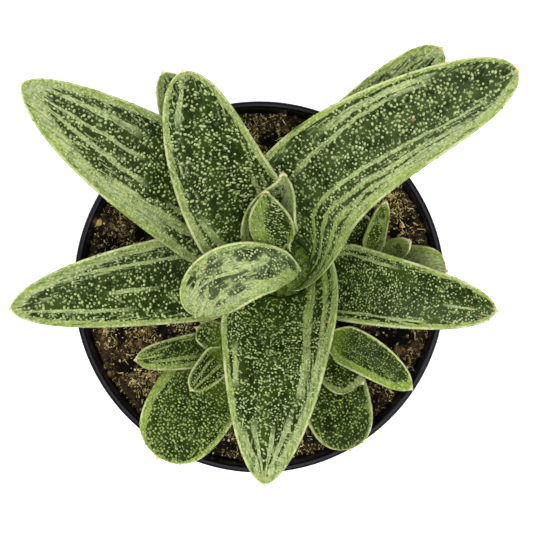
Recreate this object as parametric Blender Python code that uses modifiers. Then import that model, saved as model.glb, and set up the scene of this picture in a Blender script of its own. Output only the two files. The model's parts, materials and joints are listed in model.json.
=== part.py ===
"""A gasteria and its three offsets, growing in a black nursery pot.

The origin is on the pot's axis, in the plane that the pot stands on. Sizes are in millimetres until a
mesh is made. A leaf's heights are those of its margin, and its bearings run anticlockwise from +X.
"""

import math
import random

import bmesh
import bpy
from mathutils import Vector

MM = 0.001
GAP = 0.3  # between pieces that touch
SEAT_GAP = 0.55  # between a leaf and the stem that it clasps

# Pot: a rim over a straight collar, a ledge, and a tapered body on a foot ring and a flat hub
POT_HEIGHT = 90.0
RIM_RADIUS = 52.5
RIM_DEPTH = 2.6
RIM_OVERHANG = 0.5
COLLAR_HEIGHT = 11.0
COLLAR_TAPER = 0.6
LEDGE_WIDTH = 1.9
LEDGE_DROP = 1.6
BASE_RADIUS = 36.0
BASE_CHAMFER = 0.9
WALL = 1.3
FLOOR_RISE = 2.6
FOOT_WIDTH = 2.4
HUB_RADIUS = 13.0
POT_STEPS = 40
DRAIN_COUNT = 8
DRAIN_RADIUS = 3.2
DRAIN_CIRCLE = 23.5
NOTCH_COUNT = 4
NOTCH_WIDTH = 7.0
NOTCH_HEIGHT = 1.4

# Soil: crumbs of a few millimetres, a little higher in the middle, and banked up against the pot's collar
SOIL_LEVEL = 74.0
SOIL_MOUND = 1.2
SOIL_BANK = 6.6
BANK_START = 0.8  # share of the soil's radius
SOIL_CRUMB = 1.1  # most that a crumb rises or sinks
SOIL_RINGS = 12
SOIL_STEPS = 40
SOIL_SEED = 5

# Stems: place in plan, radius at the soil and at the top, top and lower end
STEM_STEPS = 20
STEM_LEVELS = 6
ROOT_END = 0.4  # shares of the radius at the lower end and at its shoulder
ROOT_SHOULDER = 0.8
STEMS = {
    "main_stem": dict(at=(6.5, 6.0), radius=10.0, neck=3.6, top=110.0, foot=58.0),
    "offset_stem_south_west": dict(at=(-7.5, -16.5), radius=4.2, neck=2.8, top=91.0, foot=66.0),
    "offset_stem_south_east": dict(at=(16.5, -14.5), radius=4.2, neck=2.8, top=91.0, foot=66.0),
    "offset_stem_east": dict(at=(31.0, 6.0), radius=3.8, neck=2.4, top=87.0, foot=66.0),
}

# Leaves: bearing and reach in plan of the tip from the stem's axis, low and high ends, how far the
# first and last stretch turn off that bearing (left is positive), their slopes, widths at base, middle
# and end, thickness, depth of the hollow face, roll at base and tip (right side up is positive). Where
# it clasps the stem, a leaf has a share of its base width, its margins may flare away from the stem, and
# the clasp may shift round it to the right. Bow over 1 makes its path bend more fully
MAIN_LEAVES = {
    "leaf_north_west": dict(
        bearing=145, reach=84, low=91.85, high=128, turn=(-6, 2), width=(30, 28, 12), roll=(6, -8), clasp=0.6
    ),
    "leaf_west": dict(
        bearing=189, reach=74, low=84, high=118, turn=(-2, -3), width=(26, 22, 13), roll=(6, 2), clasp=0.55,
        sharpness=7,
    ),
    "leaf_north": dict(
        bearing=117.5, reach=56.5, low=104.5, high=139, turn=(17, 11), slope=(40, 22),
        width=(29, 25, 14), roll=(0, 6), clasp=0.45,
    ),
    "leaf_north_low": dict(
        bearing=122, reach=61, low=83, high=116, turn=(0, 4), slope=(28, 24),
        width=(19, 18, 10), thick=4.0, clasp=0.45,
    ),
    "leaf_north_east_low": dict(
        bearing=54, reach=72, low=87.25, high=119, turn=(14, 8), width=(30, 22, 13), clasp=0.45
    ),
    "leaf_north_east": dict(
        bearing=40, reach=80, low=98.5, high=132, turn=(42, 14), width=(32.5, 27, 16), roll=(0, 6),
        clasp=0.8, shift=7,
    ),
    "leaf_east": dict(
        bearing=-12, reach=59, low=86, high=113, turn=(-3, -3), slope=(42, 8), width=(22, 18.5, 10), clasp=0.6
    ),
    "leaf_south": dict(
        bearing=265, reach=58.5, low=92.8, high=121, width=(33, 25.5, 12.5), clasp=0.85, flare=4.5,
        shift=-3, sharpness=7,
    ),
    "leaf_heart_west": dict(
        bearing=210, reach=27.4, low=111.7, high=115, seat=4.4, turn=(-258, -44), bow=1.65, slope=(112, -25),
        width=(7, 16.2, 23.5), thick=4.0, hollow=-1.4, wrap=0, sharpness=4,
    ),
    "leaf_heart_north": dict(
        bearing=90.5, reach=22.5, low=108.75, high=148.1, turn=(28, -8), slope=(44, 65),
        width=(16, 12.2, 4), thick=3.6, hollow=3.3, sharpness=4, clasp=0.5,
    ),
    "leaf_heart_inner": dict(
        bearing=104, reach=19.3, low=110.8, high=139.9, seat=3.7, turn=(8, 4), roll=(8, 14), slope=(68, 62),
        width=(4, 12.4, 5), thick=1.2, hollow=0.7, edge=1.0, wrap=0, sharpness=3, stud=0, clasp=0.6,
    ),
}
OFFSET_LEAVES = {
    "offset_stem_south_west": {
        "offset_leaf_1_west": dict(bearing=188, reach=27, low=84.5, high=97, width=(10, 9, 6)),
        "offset_leaf_1_south": dict(bearing=236, reach=37, low=80.5, high=99, width=(20, 24, 19), clasp=0.4),
        "offset_leaf_1_heart": dict(bearing=226, reach=16, low=90, high=101, slope=(50, 50), width=(9, 8, 5)),
        "offset_leaf_1_north": dict(bearing=154, reach=11, low=88.3, high=91.5, width=(8, 8, 6)),
    },
    "offset_stem_south_east": {
        "offset_leaf_2_east": dict(
            bearing=-28, reach=29, low=89.3, high=98, turn=(18, 12), width=(10, 10.5, 5.5)
        ),
        "offset_leaf_2_low": dict(bearing=-45, reach=17.5, low=84.4, high=92, width=(14, 16, 14)),
        "offset_leaf_2_south": dict(bearing=-74, reach=32, low=80.5, high=95, width=(16, 19, 15)),
    },
    "offset_stem_east": {
        "offset_leaf_3_north": dict(
            bearing=79, reach=17, low=85.8, high=110, slope=(45, 70), width=(6.5, 5, 3)
        ),
        "offset_leaf_3_west": dict(bearing=106, reach=15, low=80.3, high=92, slope=(45, 40), width=(8, 9, 6)),
        "offset_leaf_3_east": dict(bearing=32, reach=12, low=82.8, high=101, slope=(50, 65), width=(6, 6, 4)),
        "offset_leaf_3_south": dict(bearing=-4, reach=21, low=79.5, high=97, width=(11, 13, 12)),
    },
}
PLAIN_LEAF = dict(turn=(0, 0), bow=1, roll=(0, 0), slope=(38, 10), wrap=1, flare=0, shift=0, sharpness=10)
MAIN_BUILD = dict(PLAIN_LEAF, columns=8, stations=22, thick=5.6, hollow=1.6, edge=1.5, stud=0.3, clasp=0.75)
OFFSET_BUILD = dict(PLAIN_LEAF, columns=5, stations=13, thick=2.6, hollow=0.6, edge=1.1, stud=0.25, clasp=0.5)
CLASP_END = 0.2  # share of the leaf's length
TIP_CROWDING = 0.4  # how far the sections gather towards the tip
TIP_WIDTH = 1.6
TIP_THICK = 0.45  # share of the thickness that is left at the tip
TIP_EDGE = 0.6  # the same of the margin's thickness
KEEL_POWER = 0.7  # below 1 the underside is full towards its margins
SLIM_POWER = 0.6  # below 1 a narrow stretch stays thick
POINT_LENGTH = 0.8
POINT_WIDTH = 0.9

# Colour, roughness and metallic value
FINISHES = {
    "pot_plastic": ((0.014, 0.014, 0.016), 0.42, 0.0),
    "soil": ((0.052, 0.031, 0.018), 0.95, 0.0),
    "stem": ((0.34, 0.40, 0.16), 0.55, 0.0),
    "leaf": ((0.055, 0.115, 0.035), 0.38, 0.0),
    "offset_leaf": ((0.075, 0.15, 0.04), 0.38, 0.0),
}


def clear_scene():
    for obj in list(bpy.data.objects):
        bpy.data.objects.remove(obj, do_unlink=True)


def new_collection(name):
    collection = bpy.data.collections.new(name)
    bpy.context.scene.collection.children.link(collection)
    return collection


def principled(name):
    colour, roughness, metallic = FINISHES[name]
    material = bpy.data.materials.new(name)
    material.use_nodes = True
    shader = material.node_tree.nodes["Principled BSDF"]
    shader.inputs["Base Color"].default_value = (*colour, 1.0)
    shader.inputs["Roughness"].default_value = roughness
    shader.inputs["Metallic"].default_value = metallic
    return material


def add_object(name, mesh, collection, material):
    obj = bpy.data.objects.new(name, mesh)
    collection.objects.link(obj)
    if material:
        mesh.materials.append(material)
    return obj


def apply_modifiers(obj):
    """Makes the object's evaluated shape its mesh, and drops its modifiers."""
    graph = bpy.context.evaluated_depsgraph_get()
    mesh = bpy.data.meshes.new_from_object(obj.evaluated_get(graph))
    obj.modifiers.clear()
    obj.data = mesh


def turned(name, profile, steps, collection, material):
    """A solid of revolution. The profile of (radius, height) runs down its outer side to the axis."""
    mesh = bpy.data.meshes.new(name)
    points = [(radius * MM, 0, height * MM) for radius, height in profile]
    edges = [(i, i + 1) for i in range(len(points) - 1)]
    mesh.from_pydata(points, edges, [])
    obj = add_object(name, mesh, collection, material)
    screw = obj.modifiers.new("turn", "SCREW")
    screw.steps = screw.render_steps = steps
    screw.use_merge_vertices = True
    screw.merge_threshold = 0.00001
    screw.use_smooth_shade = True
    return obj


def cylinder_cutter(name, radius, low, high, at, collection):
    mesh = bpy.data.meshes.new(name)
    shape = bmesh.new()
    bmesh.ops.create_cone(
        shape, cap_ends=True, segments=STEM_STEPS,
        radius1=radius * MM, radius2=radius * MM, depth=(high - low) * MM,
    )
    shape.to_mesh(mesh)
    shape.free()
    cutter = add_object(name, mesh, collection, None)
    cutter.location = Vector((*at, (low + high) / 2)) * MM
    return cutter


def box_cutter(name, sides, at, turn, collection):
    mesh = bpy.data.meshes.new(name)
    shape = bmesh.new()
    bmesh.ops.create_cube(shape, size=1)
    bmesh.ops.scale(shape, vec=Vector(sides) * MM, verts=shape.verts)
    shape.to_mesh(mesh)
    shape.free()
    cutter = add_object(name, mesh, collection, None)
    cutter.location = Vector(at) * MM
    cutter.rotation_euler.z = turn
    return cutter


def cut(obj, cutters):
    """Takes the cutters out of the object, and keeps them as wire helpers."""
    for cutter in cutters:
        cutter.hide_render = True
        cutter.display_type = "WIRE"
        boolean = obj.modifiers.new(cutter.name, "BOOLEAN")
        boolean.operation = "DIFFERENCE"
        boolean.solver = "EXACT"
        boolean.object = cutter


def inner_body():
    """The pot's inside wall under its ledge, as (radius, height) at the floor and at the ledge."""
    floor = FLOOR_RISE + WALL
    ledge = POT_HEIGHT - COLLAR_HEIGHT - LEDGE_DROP + WALL / 2
    top_radius = RIM_RADIUS - RIM_OVERHANG - COLLAR_TAPER - LEDGE_WIDTH - WALL
    return (BASE_RADIUS - WALL + BASE_CHAMFER / 2, floor), (top_radius, ledge)


def inner_radius(height):
    (low_radius, low), (top_radius, top) = inner_body()
    return low_radius + (top_radius - low_radius) * (height - low) / (top - low)


def pot_profile():
    """From the middle of the floor up the inside, over the rim, down the outside and back under the hub."""
    collar = RIM_RADIUS - RIM_OVERHANG
    collar_foot = POT_HEIGHT - COLLAR_HEIGHT
    floor = FLOOR_RISE + WALL
    (floor_radius, _), (ledge_radius, ledge) = inner_body()
    rounding = WALL / 2
    return [
        (0, WALL),
        (HUB_RADIUS - WALL, WALL),
        (HUB_RADIUS - WALL / 2, floor),
        (floor_radius - rounding, floor),
        (floor_radius, floor + rounding),
        (ledge_radius, ledge),
        collar_foot_inside(),
        (collar - WALL, POT_HEIGHT - RIM_DEPTH),
        (collar - WALL + rounding / 2, POT_HEIGHT - rounding / 2),
        (collar - rounding / 2, POT_HEIGHT),
        (RIM_RADIUS, POT_HEIGHT - rounding),
        (RIM_RADIUS, POT_HEIGHT - RIM_DEPTH + rounding),
        (collar, POT_HEIGHT - RIM_DEPTH),
        (collar - COLLAR_TAPER, collar_foot),
        (collar - COLLAR_TAPER - LEDGE_WIDTH, collar_foot - LEDGE_DROP),
        (BASE_RADIUS + BASE_CHAMFER, FLOOR_RISE),
        (BASE_RADIUS, 0),
        (BASE_RADIUS - FOOT_WIDTH, 0),
        (BASE_RADIUS - FOOT_WIDTH - rounding, FLOOR_RISE),
        (HUB_RADIUS + rounding, FLOOR_RISE),
        (HUB_RADIUS, 0),
        (0, 0),
    ]


def make_pot(collection, cutters):
    pot = turned("pot", pot_profile(), POT_STEPS, collection, principled("pot_plastic"))
    tools = []
    for i in range(DRAIN_COUNT):
        angle = math.tau * i / DRAIN_COUNT
        at = (DRAIN_CIRCLE * math.cos(angle), DRAIN_CIRCLE * math.sin(angle))
        tools.append(cylinder_cutter(f"drain_{i}", DRAIN_RADIUS, 0, 2 * (FLOOR_RISE + WALL), at, cutters))
    foot = BASE_RADIUS - FOOT_WIDTH / 2
    for i in range(NOTCH_COUNT):
        angle = math.tau * (i + 0.5) / NOTCH_COUNT
        at = (foot * math.cos(angle), foot * math.sin(angle), 0)
        sides = (3 * FOOT_WIDTH, NOTCH_WIDTH, 2 * NOTCH_HEIGHT)
        tools.append(box_cutter(f"notch_{i}", sides, at, angle, cutters))
    cut(pot, tools)
    apply_modifiers(pot)
    pot.data.shade_smooth()
    pot.data.set_sharp_from_angle(angle=math.radians(35))


def collar_foot_inside():
    """The inner corner at the collar's foot, over the ledge, as (radius, height)."""
    return RIM_RADIUS - RIM_OVERHANG - COLLAR_TAPER - WALL, POT_HEIGHT - COLLAR_HEIGHT + WALL / 2


def soil_height(radius, edge):
    """The soil's mean surface out to its edge: a low mound in a raised bank."""
    mound = SOIL_MOUND * (1 - (radius / edge) ** 2)
    return SOIL_LEVEL + mound + SOIL_BANK * smooth_step(BANK_START, 1, radius / edge)


def make_soil(collection, cutters):
    floor = FLOOR_RISE + WALL + GAP
    collar_radius, collar_foot = collar_foot_inside()
    ledge_radius, ledge = inner_body()[1]
    edge = collar_radius - GAP
    rings = [edge * i / SOIL_RINGS for i in range(SOIL_RINGS + 1)]
    profile = [(radius, soil_height(radius, edge)) for radius in rings]
    profile += [(edge, collar_foot + GAP / 2), (ledge_radius - GAP, ledge + GAP / 2)]
    profile += [(inner_radius(floor + WALL) - GAP, floor + WALL), (inner_radius(floor) - WALL, floor)]
    profile += [(0, floor)]
    soil = turned("soil", profile, SOIL_STEPS, collection, principled("soil"))
    apply_modifiers(soil)
    draw = random.Random(SOIL_SEED)
    for vertex in soil.data.vertices:
        radius = vertex.co.to_2d().length / MM
        if radius < edge - GAP and vertex.co.z > (soil_height(radius, edge) - GAP) * MM:
            vertex.co.z += draw.uniform(-SOIL_CRUMB, SOIL_CRUMB) * MM
    holes = []
    for name, stem in STEMS.items():
        hole = f"hole_{name}"
        low = stem["foot"] - GAP
        holes.append(cylinder_cutter(hole, stem["radius"] + GAP, low, POT_HEIGHT, stem["at"], cutters))
    cut(soil, holes)
    apply_modifiers(soil)


def stem_radius(stem, height):
    """A stem bulges at the soil and narrows ever faster towards its top."""
    share = (height - SOIL_LEVEL) / (stem["top"] - SOIL_LEVEL)
    share = min(max(share, 0), 1)
    return stem["neck"] + (stem["radius"] - stem["neck"]) * (1 - share * share)


def make_stem(name, stem, collection, material):
    """A short stem with a blunt root end and a flat growing point."""
    top, neck, radius, foot = stem["top"], stem["neck"], stem["radius"], stem["foot"]
    levels = [top + (SOIL_LEVEL - top) * i / STEM_LEVELS for i in range(STEM_LEVELS + 1)]
    profile = [(0, foot), (ROOT_END * radius, foot), (ROOT_SHOULDER * radius, foot + neck)]
    profile += [(stem_radius(stem, level), level) for level in levels[::-1]]
    profile += [(0, top)]
    profile.reverse()
    obj = turned(name, profile, STEM_STEPS, collection, material)
    obj.location = Vector((*stem["at"], 0)) * MM


def smooth_step(low, high, value):
    share = min(max((value - low) / (high - low), 0), 1)
    return share * share * (3 - 2 * share)


def heading(bearing, slope):
    """The unit vector that runs along a bearing in plan and climbs by a slope, both in degrees."""
    bearing, slope = math.radians(bearing), math.radians(slope)
    flat = math.cos(slope)
    return Vector((flat * math.cos(bearing), flat * math.sin(bearing), math.sin(slope)))


def leaf_path(stem, leaf):
    """The four handles of the Bezier curve that a leaf's middle follows."""
    axis = Vector((*stem["at"], 0))
    seat = leaf.get("seat", stem_radius(stem, leaf["low"]) + SEAT_GAP)
    first_turn, last_turn = leaf["turn"]
    first_slope, last_slope = leaf["slope"]
    start = axis + seat * heading(leaf["bearing"] + first_turn, 0) + Vector((0, 0, leaf["low"]))
    tip = axis + leaf["reach"] * heading(leaf["bearing"], 0) + Vector((0, 0, leaf["high"]))
    third = leaf["bow"] * (tip - start).length / 3
    return (
        start,
        start + third * heading(leaf["bearing"] + first_turn, first_slope),
        tip - third * heading(leaf["bearing"] - last_turn, last_slope),
        tip,
    )


def along(handles, t):
    """The point and the direction of a cubic Bezier curve at t."""
    a, b, c, d = handles
    s = 1 - t
    point = s**3 * a + 3 * s * s * t * b + 3 * s * t * t * c + t**3 * d
    slope = s * s * (b - a) + 2 * s * t * (c - b) + t * t * (d - c)
    return point, slope.normalized()


def leaf_width(leaf, t):
    base, middle, end = leaf["width"]
    width = base * (2 * t - 1) * (t - 1) + middle * 4 * t * (1 - t) + end * t * (2 * t - 1)
    clasp = leaf["clasp"] + (1 - leaf["clasp"]) * smooth_step(0, CLASP_END, t)
    tip = math.sqrt(1 - t ** leaf["sharpness"])
    return max(width * clasp * tip, TIP_WIDTH)


def leaf_ring(leaf, width, thick, edge, stud_row):
    """One section as (across, up): the upper face from left to right, then the lower face back."""
    columns = leaf["columns"]
    upper, lower = [], []
    for j in range(columns):
        share = 2 * j / (columns - 1) - 1
        rise = 1 - share * share
        inside = 0 < j < columns - 1
        hollow = leaf["hollow"] * rise * min(width / leaf["width"][1], 1)
        stud = leaf["stud"] if inside and (j + stud_row) % 2 == 0 else 0
        under_stud = leaf["stud"] if inside and (j + stud_row) % 2 == 1 else 0
        upper.append((share * width / 2, stud - hollow))
        lower.append((share * width / 2, -edge - thick * rise**KEEL_POWER - under_stud))
    return upper + lower[::-1]


def place_ring(ring, stem, leaf, point, direction, roll, wrap):
    """Puts a section across the leaf's path, and bends it round the stem by the share that is wrapped."""
    side = direction.cross(Vector((0, 0, 1))).normalized()
    up = side.cross(direction)
    turn = math.radians(roll)
    across = side * math.cos(turn) + up * math.sin(turn)
    normal = up * math.cos(turn) - side * math.sin(turn)
    axis = Vector((*stem["at"], 0))
    from_axis = (point - axis).to_2d()
    bearing = math.atan2(from_axis.y, from_axis.x)
    half = ring[len(ring) // 2 - 1][0]
    placed = []
    for x, z in ring:
        flat = point + x * across + z * normal
        bent_bearing = bearing - (x + leaf["shift"]) / from_axis.length
        radius = from_axis.length + leaf["flare"] * (x / half) ** 2
        bent = axis + radius * Vector((math.cos(bent_bearing), math.sin(bent_bearing), 0))
        bent.z = point.z + z + x * math.sin(turn)
        place = flat.lerp(bent, wrap)
        out = (place - axis).to_2d()
        least = stem_radius(stem, place.z) + SEAT_GAP
        if out.length < least and place.z < stem["top"] + GAP:
            out = out.normalized() * least
            place = Vector((axis.x + out.x, axis.y + out.y, place.z))
        placed.append(place)
    return placed


def leaf_rings(stem, leaf):
    """The leaf's sections from the stem to its hard point."""
    handles = leaf_path(stem, leaf)
    first_roll, last_roll = leaf["roll"]
    rings = []
    for i in range(leaf["stations"] + 1):
        share = i / leaf["stations"]
        t = share + TIP_CROWDING * (math.sin(share * math.pi / 2) - share)
        point, direction = along(handles, t)
        width = leaf_width(leaf, t)
        slim = min(width / leaf["width"][1], 1)
        thick = leaf["thick"] * (1 - (1 - TIP_THICK) * t) * slim**SLIM_POWER
        edge = leaf["edge"] * (1 - (1 - TIP_EDGE) * t)
        ring = leaf_ring(leaf, width, thick, edge, i)
        roll = first_roll + (last_roll - first_roll) * t
        wrap = leaf["wrap"] * (1 - smooth_step(0, CLASP_END, t))
        rings.append(place_ring(ring, stem, leaf, point, direction, roll, wrap))
    middle = sum(rings[-1], Vector()) / len(rings[-1])
    shrink = POINT_WIDTH / TIP_WIDTH
    rings.append([middle + shrink * (corner - middle) + POINT_LENGTH * direction for corner in rings[-1]])
    return rings


def loft(rings):
    """A closed mesh through the rings. Squares split between their lower corners, so studs stand alone."""
    shape = bmesh.new()
    rows = [[shape.verts.new(corner * MM) for corner in ring] for ring in rings]
    size = len(rows[0])
    for i in range(len(rows) - 1):
        for j in range(size):
            k = (j + 1) % size
            a, b, c, d = rows[i][j], rows[i + 1][j], rows[i + 1][k], rows[i][k]
            if (i + j) % 2 == 0:
                shape.faces.new((a, b, d))
                shape.faces.new((b, c, d))
            else:
                shape.faces.new((a, b, c))
                shape.faces.new((a, c, d))
    for row in (rows[0], rows[-1]):
        for j in range(size // 2 - 1):
            shape.faces.new((row[j], row[j + 1], row[size - 2 - j], row[size - 1 - j]))
    bmesh.ops.recalc_face_normals(shape, faces=shape.faces)
    return shape


def make_leaf(name, stem, leaf, collection, material):
    shape = loft(leaf_rings(stem, leaf))
    mesh = bpy.data.meshes.new(name)
    shape.to_mesh(mesh)
    shape.free()
    mesh.shade_smooth()
    add_object(name, mesh, collection, material)


def main():
    clear_scene()
    plant = new_collection("potted_gasteria")
    cutters = new_collection("cutters")
    cutters.hide_render = True
    make_pot(plant, cutters)
    make_soil(plant, cutters)
    stem_green = principled("stem")
    for name, stem in STEMS.items():
        make_stem(name, stem, plant, stem_green)
    leaf_green = principled("leaf")
    for name, leaf in MAIN_LEAVES.items():
        make_leaf(name, STEMS["main_stem"], {**MAIN_BUILD, **leaf}, plant, leaf_green)
    offset_green = principled("offset_leaf")
    for stem_name, leaves in OFFSET_LEAVES.items():
        for name, leaf in leaves.items():
            make_leaf(name, STEMS[stem_name], {**OFFSET_BUILD, **leaf}, plant, offset_green)


main()
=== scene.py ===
"""The looks of a potted gasteria: spotted fleshy leaves, rough potting soil and a black nursery pot.

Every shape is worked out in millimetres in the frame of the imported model, and becomes metres in its mesh.
A leaf's blade carries attributes at its points. Its finishes read along (0 at the stem, 1 at the tip),
share (-1 at the left margin, 1 at the right), inset (millimetres from the nearer margin) and lie (the place
as on the blade laid flat, in metres). Its raised dots read spots, how thickly they grow there. Left and
right are those of someone who looks down on the leaf from its stem to its tip. The soil carries rise, from 0
in its hollows to 1 on its lumps.
"""

import json
import math
import random

import bmesh
import bpy
from mathutils import Matrix, Vector, noise

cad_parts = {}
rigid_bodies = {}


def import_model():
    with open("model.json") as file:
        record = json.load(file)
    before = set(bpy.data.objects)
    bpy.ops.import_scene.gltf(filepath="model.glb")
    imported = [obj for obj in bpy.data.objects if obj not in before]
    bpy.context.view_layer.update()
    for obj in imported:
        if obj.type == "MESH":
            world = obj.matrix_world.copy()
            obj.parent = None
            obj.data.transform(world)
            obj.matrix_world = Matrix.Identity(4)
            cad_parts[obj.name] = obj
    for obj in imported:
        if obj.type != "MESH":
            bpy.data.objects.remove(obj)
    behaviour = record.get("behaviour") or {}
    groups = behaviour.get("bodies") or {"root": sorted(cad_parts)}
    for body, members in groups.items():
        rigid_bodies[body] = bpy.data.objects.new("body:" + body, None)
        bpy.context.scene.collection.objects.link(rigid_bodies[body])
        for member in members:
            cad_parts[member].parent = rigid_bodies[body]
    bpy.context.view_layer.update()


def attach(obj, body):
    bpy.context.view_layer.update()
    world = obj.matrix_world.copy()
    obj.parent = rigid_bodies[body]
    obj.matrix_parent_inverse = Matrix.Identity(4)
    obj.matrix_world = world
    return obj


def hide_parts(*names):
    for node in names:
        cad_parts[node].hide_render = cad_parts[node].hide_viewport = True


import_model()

MM = 0.001

# Camera: looks straight down at the plant
VIEW_CENTRE = (1.98, 5.79)
VIEW_HEIGHT = 690.0  # above the pot's foot
VIEW_WIDTH = 150.47  # what the frame takes in at the rim's height
SENSOR = 36.0

# Pot
POT_HEIGHT = 90.0
RIM_RADIUS = 52.5
RIM_DEPTH = 2.6
RIM_OVERHANG = 0.5
COLLAR_HEIGHT = 11.0
COLLAR_TAPER = 0.6
LEDGE_WIDTH = 1.9
LEDGE_DROP = 1.6
BASE_RADIUS = 36.0
BASE_CHAMFER = 0.9
WALL = 1.3
FLOOR_RISE = 2.6
FOOT_WIDTH = 2.4
HUB_RADIUS = 13.0
RIM_ROUNDING = 0.4  # under the rim's outer edge
COLLAR_ROUNDING = 0.3  # at the collar's lower edge
LEDGE_ROUNDING = 0.2  # at the ledge's corners inside
RIM_CHAMFER = 0.1  # where the rim meets the collar
POT_STEPS = 144
LIP_STEPS = 5
DRAIN_COUNT = 8
DRAIN_RADIUS = 3.2
DRAIN_CIRCLE = 23.5  # radius of the circle on which they lie
DRAIN_STEPS = 32
NOTCH_COUNT = 4
NOTCH_WIDTH = 7.0
NOTCH_HEIGHT = 1.4
POT_CREASE = 35  # degrees between two faces from which their edge stays sharp

# Soil
GAP = 0.3  # round the fill
SEAT_GAP = 0.25  # from a stem's plain form to its leaves
SOIL_LEVEL = 74.0
SOIL_MOUND = 1.2  # how much higher the middle is
SOIL_BANK = 6.6  # how much higher the edge is
BANK_START = 0.8  # share of the radius from which it rises
SOIL_RINGS = 64
SOIL_STEPS = 170
SOIL_SEED = 5
LUMP_LIFT = 2.6
LUMP_SIZE = 7.0
CLOD_LIFT = 1.5
CLOD_SIZE = 2.2
RELIEF_END = 0.86  # share of the radius from which the relief fades out
PERLITE = (  # place in plan and size
    (-9.1, -40.0, 1.3), (-8.9, -44.3, 1.0), (5.3, 46.5, 1.1), (-4.2, 45.2, 0.8), (39.7, -16.9, 1.0),
    (42.3, -23.2, 0.9), (35.9, -13.4, 0.7), (-41.0, 9.0, 0.7), (-36.0, -24.0, 0.8), (12.0, -44.5, 0.7),
)
LITTER_DEPTH = 4.0  # below the soil's level, down to which litter lies
LITTER_UPRIGHT = 0.2  # the least upward share of a face's normal that litter lies on
SHAPE_COUNT = 6  # different shapes of each kind of litter
FIBRE_STEPS = 5
FIBRE_THICK = 0.13  # a strand's radius at its start, where it is 2 long

# Stems
STEM_STEPS = 40
STEM_RINGS = 30
ROOT_END = 0.4  # radius at a stem's foot, as a share of that at the soil
ROOT_SHOULDER = 0.8  # the same a little higher up
SCAR_PITCH = 2.3  # between the ring-shaped scars of old leaves
SCAR_DEPTH = 0.08
SHEATH_SWELL = 0.4  # closes the cleft round the innermost leaves
SHEATH_START = 5.0  # below the top, where the swelling is full
STEM_DENT = 0.05  # how deep its soft dents are, as a share of its radius
STEM_DENT_SIZE = 3.0
STEMS = {  # axis in plan, radius at the soil and at the top, heights of the top and the foot
    "main_stem": dict(at=(6.5, 6.0), radius=10.0, neck=3.6, top=110.0, foot=58.0),
    "offset_stem_south_west": dict(at=(-7.5, -16.5), radius=4.2, neck=2.8, top=91.0, foot=66.0),
    "offset_stem_south_east": dict(at=(16.5, -14.5), radius=4.2, neck=2.8, top=91.0, foot=66.0),
    "offset_stem_east": dict(at=(31.0, 6.0), radius=3.8, neck=2.4, top=87.0, foot=66.0),
}

# Spots: small raised dots
SPOT_SPACING = 1.06
SPOT_RADIUS = 0.44
SPOT_HEIGHT = 0.34  # as a share of its radius
SPOT_SIZES = (0.5, 1.15)  # the smallest and the largest, as shares of the usual radius
SPOT_SHORTEST = 0.9  # length over breadth
SPOT_LONGEST = 1.6
SPOTS_LEAST = 0.5  # their density where they thin out
SPOTS_NEAREST = 0.72  # how close two of them may come, as a share of their usual spacing
SPOTS_CROWDED = 1.1  # the most of them on a square of their spacing
CLUMP_SIZE = 5.5  # of the patches in which spots crowd or thin out
SPOTS_START = 0.06  # the share of the blade's length by which they have set in
SPOTS_END = 0.985  # and the share from which they give out
SPOTS_BELOW = 0.25  # their density on the underside
SPOTS_AT_MARGIN = 0.4  # and along the margins

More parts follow.
